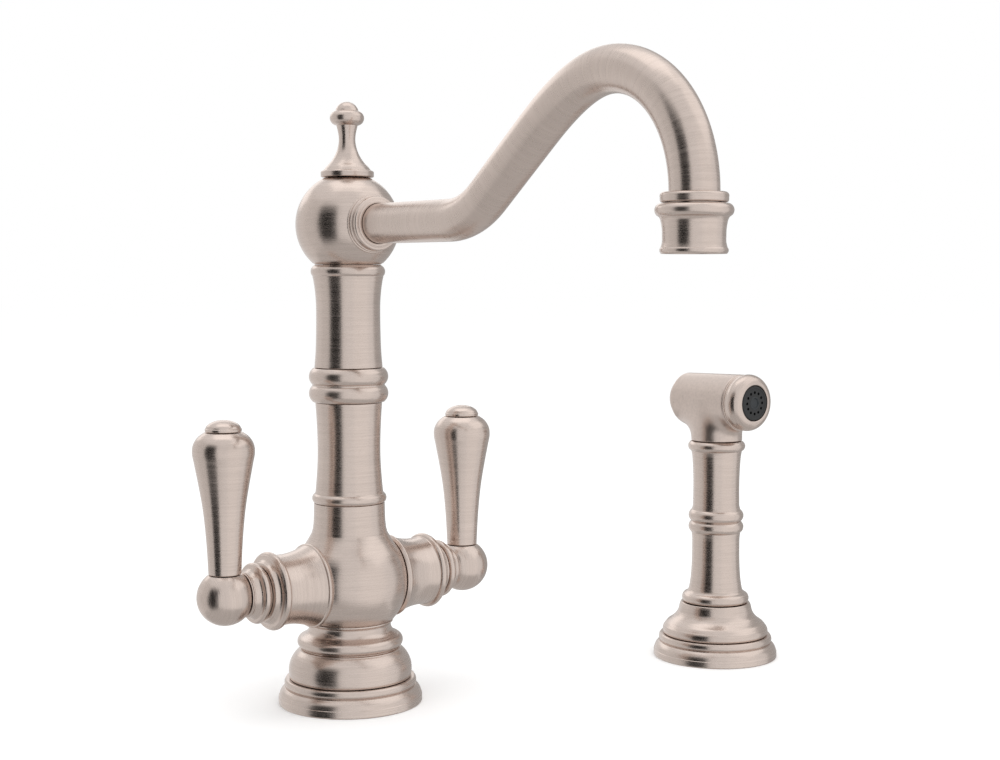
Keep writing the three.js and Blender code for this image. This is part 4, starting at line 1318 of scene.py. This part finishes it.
@dataclass
class HandleSet:
    """A valve sleeve, its trim rings, and a handle ball that carries a lever."""

    side: Side
    height: float = 60.9
    sleeve: float = 21.9
    trim: float = 50.9
    ball_offset: float = 69.4
    ball: float = 13.45
    ball_face: float = 60.5
    stem_end: float = 71.4
    stem_hole: float = 4.3
    lever_hole: float = 3.5
    screw_hole: float = 2.3
    flat: float = 10.8
    lever: float = 72.0
    cap: float = 139.6

    @property
    def ball_at(self) -> Point:
        """Centre of the handle ball."""
        return (self.side.value * self.ball_offset, 0.0, self.height)

    def sleeve_outline(self) -> Outline:
        """Draws the waisted sleeve, with its flange and its bead.

        Returns:
            The outline.
        """
        made = Outline(10.9, 0, self.sleeve).to(19.7, 0).to(20.4, 0.9)
        made.bow(20.25, 2.3, 0.3, 8).to(19.75, 2.5)
        made.bow(17.3, 21.1, -1.2, 24).to(17.5, 21.5)
        made.bow(17.7, 25.1, 1.35, 18).to(17.4, 25.4)
        made.bow(14.4, 27.7, -0.8, 12).bow(13.6, 28.5, 0.2, 5).to(13.2, 28.7)
        return made.to(9.8, 28.7).to(9.8, 22).to(10.9, 22)

    def trim_outline(self) -> Outline:
        """Draws the trim ring, with its bead and its neck.

        Returns:
            The outline.
        """
        made = Outline(8.5, 0, self.trim).to(12.4, 0).bow(12.8, 1.2, -0.1, 5)
        made.bow(12.7, 4.6, 1.9, 18).bow(11.2, 6.2, -0.3, 8)
        made.bow(10.8, 7.9, -0.08, 5).bow(10.75, 8.6, 0.14, 5)
        made.to(10.4, 8.8).to(10.4, 9.2).to(5.9, 9.2)
        return made.to(5.9, 5.9).to(8.5, 5.9)

    def lever_outline(self) -> Outline:
        """Draws the lever, slender at its foot and full at its shoulder.

        Returns:
            The outline.
        """
        made = Outline(0, -4.9, self.lever).to(3.2, -4.9).to(3.2, 0).to(7.4, 0).to(7.75, 0.35)
        made.through(
            (8.55, 16.0), (10.1, 31.8), (12.05, 43.6), (13.8, 52.9), (14.62, 57.6),
            (14.35, 60.9), (12.4, 64.6), (9.1, 67.2),
        )
        return made.to(2.9, 67.3).to(2.9, 61.3).to(0, 61.3)

    def cap_outline(self) -> Outline:
        """Draws the domed cap on the lever.

        Returns:
            The outline.
        """
        made = Outline(0, -6, self.cap).to(2.6, -6).to(2.6, 0).to(8.4, 0)
        made.to(8.6, 0.3).to(8.6, 1.3).to(8.3, 1.6)
        made.through((7.75, 2.7), (6.6, 3.7), (4.9, 4.6), (2.5, 5.3))
        return made.to(0, 5.5)

    def build_ball(self) -> bpy.types.Object:
        """Makes the handle ball, with a flat under the lever.

        Returns:
            The piece.
        """
        face = self.ball_face - self.ball_offset
        edge = math.sqrt(self.ball**2 - face**2)
        made = Outline(0, face).to(edge - 0.25, face).to(edge, face + 0.3)
        made.ball(self.ball, 0, self.ball, 48)
        made.points[-1] = (0.0, self.ball)
        place = {"heading": self.side.heading, "at": self.ball_at}
        tools = [
            rod(30, self.flat, 30, Heading.UP, self.ball_at),
            rod(self.stem_hole, face - 5, self.stem_end - self.ball_offset, **place),
            rod(self.lever_hole, 5.6, 30, Heading.UP, self.ball_at),
            rod(self.screw_hole, 0, 30, Heading.DOWN, self.ball_at),
        ]
        handle = f"{self.side.word}_handle"
        return fit_turned(
            f"{handle}_ball", made, Grain.ROUND_X, handle, tools, steps=128, **place
        )

    def build(self) -> None:
        """Makes the pieces of the handle."""
        word, handle = self.side.word, f"{self.side.word}_handle"
        across = {"heading": self.side.heading, "at": (0, 0, self.height)}
        above = {"at": (self.ball_at[0], 0.0, 0.0)}
        for node, outline, grain, body, place in (
            ("valve_sleeve", self.sleeve_outline(), Grain.ROUND_X, "faucet_body", across),
            ("trim_ring", self.trim_outline(), Grain.ROUND_X, "faucet_body", across),
            ("lever", self.lever_outline(), Grain.ROUND_LEVER, handle, above),
            ("lever_cap", self.cap_outline(), Grain.ROUND_LEVER, handle, above),
        ):
            fit_turned(f"{word}_{node}", outline, grain, body, **place)
        self.build_ball()


# ------------------------------------------------------------------------------------------------
# Side spray
# ------------------------------------------------------------------------------------------------


@dataclass
class SprayBase:
    """The side spray's foot on the deck and the holder that its handset stands in."""

    at: Point = (213.2, -44.0, 0.0)
    holder: float = 12.8
    body: str = "faucet_body"

    def foot(self) -> DeckFoot:
        """Sizes the foot flange.

        Returns:
            The foot.
        """
        return DeckFoot(
            node="spray_foot_flange",
            at=self.at,
            rim_radius=34.15,
            rim_height=3.7,
            tier_radius=30.6,
            tier_height=8.3,
            top_radius=30.5,
            height=12.5,
            bore=20.0,
            recess_radius=29.7,
        )

    def holder_outline(self) -> Outline:
        """Draws the holder: a short band, a crease, a cove and a rounded lip.

        Returns:
            The outline.
        """
        made = Outline(15.6, 0, self.holder).to(28.7, 0).bow(29.15, 1.5, 0.12, 8)
        made.bow(28.1, 4.6, 0.35, 10).to(27.85, 4.95)
        made.through(
            (26.7, 6.4), (24.9, 7.7), (23.35, 8.9), (22.1, 10.2), (21.15, 11.6), (20.45, 13.0),
            (20.1, 14.4), (19.75, 15.9), (19.2, 17.3),
        )
        return made.to(18.9, 17.6).to(15.6, 17.6)

    def build(self) -> None:
        """Makes the foot and the holder."""
        self.foot().build()
        holder = self.holder_outline()
        fit_turned("spray_holder", holder, Grain.ROUND_SPRAY, self.body, at=self.at)


@dataclass
class SprayHandset:
    """The side spray's grip, its head with the nozzle, and its thumb button.

    Each pocket is a radius and the distance from the head's centre at which it starts. The fillet
    between barrel and neck has one radius in front and another behind, changes from one to the
    other over fillet_change, and is never less than fillet_least. The skin's vertices move in
    rounds, by a stride at most, along a slope that is measured over a nudge each way and whose
    square counts as flattest at least.
    """

    at: Point = (213.2, -44.0, 0.0)
    grip: float = 30.8
    head_foot: float = 121.1
    axis: float = 143.4
    front: float = 18.2
    rear: float = 22.6
    front_radius: float = 15.1
    rear_radius: float = 14.2
    neck_radius: float = 14.0
    waterway: float = 6.0
    stem_hole: float = 3.3
    nozzle_pocket: tuple[float, float] = (12.0, 11.4)
    button_pocket: tuple[float, float] = (12.7, 19.4)
    spring_pocket: tuple[float, float] = (6.4, 14.2)
    fillet: tuple[float, float] = (5.5, 11.0)
    fillet_change: float = 20.0
    fillet_least: float = 2.2
    rounding: float = 0.55
    voxel: float = 0.36
    nudge: float = 0.02
    flattest: float = 0.05
    stride: float = 0.4
    rounds: int = 14
    jets: int = 12
    jet_circle: float = 5.8
    jet_radius: float = 0.8
    dish_radius: float = 3.5
    body: str = "spray_handset"

    @property
    def centre(self) -> Point:
        """Centre of the head, on the grip's axis."""
        return (self.at[0], self.at[1], self.axis)

    def grip_outline(self) -> Outline:
        """Draws the grip, with its foot bead, its rings and the spigot in the holder.

        Returns:
            The outline.
        """
        made = Outline(10.9, -11, self.grip).to(11.8, -11).to(12.2, -10.6)
        made.to(12.2, 0).to(17.7, 0).bow(16.3, 5.2, 1.45, 20)
        made.to(15.8, 5.5).bow(14.5, 8.6, -0.3, 8).to(14.35, 9.2)
        made.through(
            (13.9, 12.3), (13.42, 18), (13.17, 24), (13.1, 31), (13.2, 36.2), (13.5, 38.5),
        )
        made.to(13.5, 38.9).bow(13.6, 45.2, 1.65, 20)
        made.bow(13.5, 51.5, 1.65, 20).to(13.4, 51.8)
        made.through(
            (12.95, 53.4), (12.8, 57), (12.7, 65), (12.85, 72), (13.15, 78), (13.6, 82.6),
            (13.9, 84.1),
        )
        made.to(14.0, 84.5).bow(14.1, 89.9, 1.7, 18)
        return made.to(6, 90).to(6, -4.7).to(10.9, -4.7)

    def bezel_outline(self) -> Outline:
        """Draws the rounded bezel round the nozzle.

        Returns:
            The outline.
        """
        made = Outline(9.8, 11.7).to(11.7, 11.7).to(11.7, 18.5).to(14.8, 18.5)
        made.to(15.1, 18.8).to(15.1, 19.4).to(14.45, 19.65).to(14.45, 19.9)
        made.to(15.05, 20.15).to(15.05, 21.3).bow(10.3, 28.8, 2.25, 24)
        return made.to(9.8, 28.5)

    def button_outline(self) -> Outline:
        """Draws the domed button with its stem.

        Returns:
            The outline.
        """
        made = Outline(0, 4.3).to(2.9, 4.3).to(2.9, 23.3).to(12.0, 23.3)
        made.to(12.3, 23.6).to(12.3, 24.5)
        return made.bow(0, 29.6, 2.3, 26)

    def distance(self, points: np.ndarray) -> np.ndarray:
        """Measures how far points stand outside the head's smooth skin.

        Args:
            points: Places from the head's centre, one row each.

        Returns:
            Distances, less than nothing inside.
        """
        x, y, z = points.T
        round_barrel = np.maximum(np.hypot(x, z), NO_LENGTH)
        round_neck = np.maximum(np.hypot(x, y), NO_LENGTH)
        along = np.clip((y + self.front) / (self.front + self.rear), 0, 1)
        barrel = round_barrel - self.front_radius - (self.rear_radius - self.front_radius) * along
        neck = np.maximum(round_neck - self.neck_radius, z)
        facing = x * x / (round_barrel * round_neck)
        behind = np.clip(0.5 + y / self.fillet_change, 0, 1)
        fillet = self.fillet[0] + (self.fillet[1] - self.fillet[0]) * behind
        reach = fillet * (1 - np.clip(facing, 0, 1)) + self.fillet_least
        near = np.maximum(reach - np.abs(barrel - neck), 0) / reach
        joined = np.minimum(barrel, neck) - near * near * reach / 4
        ends = np.maximum.reduce([y - self.rear, -self.front - y, self.head_foot - self.axis - z])
        joined += self.rounding
        ends += self.rounding
        outside = np.hypot(np.maximum(joined, 0), np.maximum(ends, 0))
        return np.minimum(np.maximum(joined, ends), 0) + outside - self.rounding

    def slope(self, points: np.ndarray) -> np.ndarray:
        """Measures how the distance grows along each axis.

        Args:
            points: Places from the head's centre, one row each.

        Returns:
            The slopes, one row each.
        """
        steps = self.nudge * np.eye(3)
        sides = [self.distance(points + step) - self.distance(points - step) for step in steps]
        return np.stack(sides, axis=1) / (2 * self.nudge)

    def skin(self) -> bpy.types.Object:
        """Makes the head's outside, with the neck growing smoothly into the barrel.

        Returns:
            The piece, closed and solid.
        """
        barrel = Outline(0, -self.front).to(self.front_radius, -self.front)
        barrel.to(self.rear_radius, self.rear).to(0, self.rear)
        piece = to_object("spray_head_cast", turned(barrel, Heading.BACK, self.centre))
        foot = self.head_foot - self.axis
        neck = rod(self.neck_radius + 0.6, foot, 0, Heading.UP, self.centre, 96)
        cut(piece, [neck], "UNION")
        step = piece.modifiers.new("grid", "REMESH")
        step.mode = "VOXEL"
        step.voxel_size = self.voxel * MM
        mesh = bake(piece)
        places = np.empty(len(mesh.vertices) * 3, dtype=np.float32)
        mesh.vertices.foreach_get("co", places)
        centre = np.array(self.centre)
        points = places.reshape(-1, 3).astype(float) / MM - centre
        for _ in range(self.rounds):
            slope = self.slope(points)
            steepness = np.maximum(np.sum(slope * slope, axis=1), self.flattest)
            move = np.clip(self.distance(points), -self.stride, self.stride) / steepness
            points -= move[:, None] * slope
        mesh.vertices.foreach_set("co", ((points + centre) * MM).astype(np.float32).ravel())
        mesh.update()
        return piece

    def build_head(self) -> bpy.types.Object:
        """Makes the head, hollowed for the grip's waterway, the nozzle and the button.

        Returns:
            The piece.
        """
        piece = self.skin()
        tools = [
            rod(self.waterway, self.grip - self.axis, 0, Heading.UP, self.centre),
            rod(*self.nozzle_pocket, 40, Heading.FRONT, self.centre, 96),
            rod(*self.button_pocket, 45, Heading.BACK, self.centre, 96),
            rod(*self.spring_pocket, 45, Heading.BACK, self.centre),
            rod(self.stem_hole, -self.front, self.rear, Heading.BACK, self.centre),
        ]
        return fit(cut(piece, tools), Grain.SATIN, self.body, "spray_head")

    def build_nozzle(self) -> bpy.types.Object:
        """Makes the nozzle face, with its ring of jets round a dished middle.

        Returns:
            The piece.
        """
        front, back = 28.6, 22.2
        made = Outline(0, back).to(9.5, back).to(9.5, front - 0.4).to(9.1, front)
        made.to(8.1, front).to(7.95, front - 0.2).to(3.6, front - 0.2).to(3.4, front)
        made.to(2.8, front).to(2.5, front - 0.6).to(0, front - 0.6)
        piece = to_object("spray_nozzle_moulded", turned(made, Heading.FRONT, self.centre))
        x, y, z = self.centre
        ring = self.jet_circle
        tools = []
        for i in range(self.jets):
            turn = 2 * math.pi * i / self.jets
            at = (x + ring * math.cos(turn), y, z + ring * math.sin(turn))
            tools.append(rod(self.jet_radius, 0, 40, Heading.FRONT, at, 20))
        cut(piece, tools)
        fit(piece, "dark_plastic", self.body, "spray_nozzle_face")
        piece.data.materials.append(PALETTE.material("grey_plastic"))
        for face in piece.data.polygons:
            offset = face.center / MM - Vector(self.centre)
            if offset.y < -front + 0.7 and math.hypot(offset.x, offset.z) < self.dish_radius:
                face.material_index = 1
        return piece

    def build(self) -> None:
        """Makes the pieces of the handset."""
        outline = self.grip_outline()
        fit_turned("spray_grip", outline, Grain.ROUND_SPRAY, self.body, at=self.at)
        self.build_head()
        front = {"heading": Heading.FRONT, "at": self.centre}
        back = {"heading": Heading.BACK, "at": self.centre}
        fit_turned("spray_bezel", self.bezel_outline(), Grain.ROUND_Y, self.body, **front)
        self.build_nozzle()
        outline = self.button_outline()
        fit_turned("spray_thumb_button", outline, Grain.ROUND_Y, "spray_button", **back)
        ButtonSpring(self.centre, self.body).build()


@dataclass
class ButtonSpring:
    """The thumb button's coil spring, with a closed turn at each end."""

    centre: Point
    body: str
    turns: float = 4.0
    start: float = 15.0
    end: float = 22.5
    coil: float = 5.0
    wire: float = 0.42
    flat: float = 0.12
    steps: int = 160

    def frame(self, share: float) -> Matrix:
        """Places the wire's section.

        Args:
            share: How far along the wire it is, from 0 to 1.

        Returns:
            Its frame.
        """
        rise = min(1.0, max(0.0, (share - self.flat) / (1 - 2 * self.flat)))
        height = self.start + (self.end - self.start) * rise
        return (
            Matrix.Translation(self.centre)
            @ Heading.BACK.matrix()
            @ Matrix.Rotation(2 * math.pi * self.turns * share, 4, "Z")
            @ Matrix.Translation((self.coil, 0, height))
            @ Matrix.Rotation(-math.pi / 2, 4, "X")
        )

    def build(self) -> bpy.types.Object:
        """Makes the spring.

        Returns:
            The piece.
        """
        frames = [self.frame(i / self.steps) for i in range(self.steps + 1)]
        made = swept(frames, [self.wire] * len(frames), 12, False)
        piece = to_object("spray_button_coil", made)
        fit(piece, "stainless", self.body, "spray_button_spring")
        x, y, z = self.centre
        anchor = tuple(v * MM for v in (x, y + self.start - self.wire, z))
        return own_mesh(piece)


# ------------------------------------------------------------------------------------------------
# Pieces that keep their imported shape
# ------------------------------------------------------------------------------------------------


def both(*nodes: str) -> tuple[str, ...]:
    """Names the nodes of the left handle and those of the right one.

    Args:
        *nodes: Their names without the side.

    Returns:
        Their full names.
    """
    return tuple(f"{side.word}_{node}" for node in nodes for side in Side)


@dataclass
class InnerParts:
    """The gaskets, waterways, cartridges and screws, which are hidden in the whole faucet."""

    brass: tuple[str, ...] = (
        "foot_plate",
        "riser_tube",
        "swivel_spindle",
        *both("cartridge_body", "valve_stem"),
        "spray_foot_plate",
        "spray_hose_coupling",
    )
    rubber: tuple[str, ...] = (
        "foot_gasket",
        "spindle_seal_lower",
        "spindle_seal_upper",
        "spout_seal",
        "aerator_washer",
        *both("cartridge_seal"),
        "spray_gasket",
    )
    pale_plastic: tuple[str, ...] = ("diverter_cartridge", "swivel_washer", "spray_guide_bush")
    stainless: tuple[str, ...] = ("swivel_nut", *both("grub_screw"))
    ceramic: tuple[str, ...] = both("fixed_disc", "turning_disc")

    def dress(self) -> None:
        """Gives each node the finish of what it is made of."""
        for finish, nodes in asdict(self).items():
            for node in nodes:
                piece = bpy.data.objects[node]
                piece.data.materials.clear()
                piece.data.materials.append(PALETTE.material(finish))
                LOG.info("%s: %s", node, finish)


# ------------------------------------------------------------------------------------------------
# Studio
# ------------------------------------------------------------------------------------------------


@dataclass(frozen=True)
class SoftBox:
    """A large soft lamp."""

    name: str
    at: Point
    size: tuple[float, float]
    power: float

    def build(self) -> None:
        """Hangs the lamp, turned to the middle of the faucet."""
        light = bpy.data.lights.new(self.name, "AREA")
        light.shape = "RECTANGLE"
        light.size, light.size_y = (side * MM for side in self.size)
        light.energy = self.power
        lamp = bpy.data.objects.new(self.name, light)
        lamp.location = Vector(self.at) * MM
        towards = Vector(MIDDLE) * MM - lamp.location
        lamp.rotation_euler = towards.to_track_quat("-Z", "Y").to_euler()
        lamp.visible_glossy = False
        bpy.context.scene.collection.objects.link(lamp)


@dataclass(frozen=True)
class Panel:
    """A card that stands round the set and is seen only in the metal."""

    name: str
    bearing: float
    spread: float
    level: float
    lift: float = 0.0
    reach: float = 2600.0
    tall: float = 4400.0
    ends: float | None = None

    @staticmethod
    def white(level: float) -> Colour:
        """Gives a slightly warm white of a level."""
        return (level, level * 0.99, level * 0.98)

    def build(self) -> None:
        """Stands the card."""
        made = bmesh.new()
        width = 2 * self.reach * math.tan(math.radians(self.spread / 2))
        bmesh.ops.create_grid(made, x_segments=1, y_segments=1, size=0.5)
        bmesh.ops.scale(made, vec=(self.tall, width, 1), verts=made.verts)
        stand = (
            Matrix.Translation((0, 0, CARD_HEIGHT))
            @ Matrix.Rotation(math.radians(self.bearing), 4, "Z")
            @ Matrix.Rotation(math.radians(-self.lift), 4, "Y")
            @ Matrix.Translation((self.reach, 0, 0))
            @ Matrix.Rotation(math.pi / 2, 4, "Y")
        )
        bmesh.ops.transform(made, matrix=stand, verts=made.verts)
        card = to_object(self.name, made)
        graph = Graph(self.name)
        height = Number(graph, graph.add("SeparateXYZ", Vector=graph.place()).outputs["Z"])
        share = abs(height - CARD_HEIGHT * MM) * (2 / (self.tall * MM))
        ends = self.level if self.ends is None else self.ends
        colour = graph.tint(share, (0.5, self.white(self.level)), (1.0, self.white(ends)))
        shade = graph.add("Emission", Color=colour, Strength=1.0)
        graph.add("OutputMaterial", Surface=shade.outputs[0])
        graph.owner.cycles.emission_sampling = "NONE"
        card.data.materials.append(graph.owner)
        card.visible_camera = False
        card.visible_diffuse = False
        card.visible_shadow = False


@dataclass
class Studio:
    """The floor, the lamps, the cards that the metal mirrors, and the camera."""

    camera_at: Point = (-419.4, -665.6, 213.87)
    down: float = 3.861
    turn: float = -37.682
    lens: float = 57.07
    around: float = 0.86
    floor_size: float = 9000.0
    panels: tuple[Panel, ...] = (
        Panel("card_left", 109.0, 42.0, 0.78),
        Panel("card_grey", 149.0, 42.0, 0.7),
        Panel("card_dark", 190.5, 46.0, 0.012, tall=5200.0, ends=0.7),
        Panel("card_bright", 285.0, 56.0, 0.94),
        Panel("card_dim", 18.0, 76.0, 0.47),
        Panel("card_right", 328.0, 50.0, 1.12, lift=46.0, tall=1900.0),
        Panel("card_above", 57.8, 44.0, 1.36, lift=80.0, reach=3000.0, tall=1950.0),
        Panel("card_behind", 75.0, 60.0, 1.34, lift=23.0, reach=2500.0, tall=850.0),
        Panel("card_below", 0.0, 100.0, 0.56, lift=-90.0, reach=3200.0, tall=7600.0),
    )
    lamps: tuple[SoftBox, ...] = (
        SoftBox("lamp_front", (-300.0, -1500.0, 1300.0), (1200.0, 1200.0), 5.0),
        SoftBox("lamp_above", (-200.0, -200.0, 1700.0), (1500.0, 1500.0), 6.0),
    )

    def build_floor(self) -> None:
        """Lays the pale floor."""
        made = bmesh.new()
        bmesh.ops.create_grid(made, x_segments=1, y_segments=1, size=self.floor_size)
        floor = to_object("floor", made)
        graph = Graph("pale floor")
        shade = graph.add(
            "BsdfPrincipled",
            Base_Color=(1.0, 1.0, 1.0, 1.0),
            Roughness=0.95,
            Metallic=0.0,
            Specular_IOR_Level=0.0,
        )
        graph.add("OutputMaterial", Surface=shade.outputs[0])
        floor.data.materials.append(graph.owner)
        floor.visible_glossy = False

    def build_world(self) -> None:
        """Sets the white surroundings, a little greyer where the metal mirrors them."""
        graph = Graph("studio", world=True)
        path = graph.add("LightPath")
        white = graph.add("Background", Color=(1.0, 1.0, 1.0, 1.0), Strength=1.0)
        mirrored = graph.add("Background", Color=(1.0, 1.0, 1.0, 1.0), Strength=self.around)
        mix = graph.add(
            "MixShader",
            i0=path.outputs["Is Glossy Ray"],
            i1=white.outputs[0],
            i2=mirrored.outputs[0],
        )
        graph.add("OutputWorld", Surface=mix.outputs[0])
        bpy.context.scene.world = graph.owner

    def build_camera(self) -> None:
        """Sets the camera where the photograph was taken from."""
        lens = bpy.data.cameras.new("camera")
        lens.lens = self.lens
        lens.sensor_width = 36.0
        lens.clip_start = 0.02
        lens.clip_end = 40.0
        camera = bpy.data.objects.new("camera", lens)
        camera.location = Vector(self.camera_at) * MM
        camera.rotation_euler = (math.radians(90 - self.down), 0, math.radians(self.turn))
        bpy.context.scene.collection.objects.link(camera)
        bpy.context.scene.camera = camera

    def build(self) -> None:
        """Sets up the studio."""
        bpy.context.scene.view_settings.view_transform = "Standard"
        self.build_camera()
        self.build_world()
        self.build_floor()
        for fitting in self.panels + self.lamps:
            fitting.build()


def main() -> None:
    """Builds the studio and every piece of the faucet, in order."""
    logging.basicConfig(level=logging.INFO, format="%(name)s %(message)s")
    Studio().build()
    Column().build()
    BallHub().build()
    Spout().build()
    for side in Side:
        HandleSet(side).build()
    SprayBase().build()
    SprayHandset().build()
    InnerParts().dress()


if __name__ == "__main__":
    main()
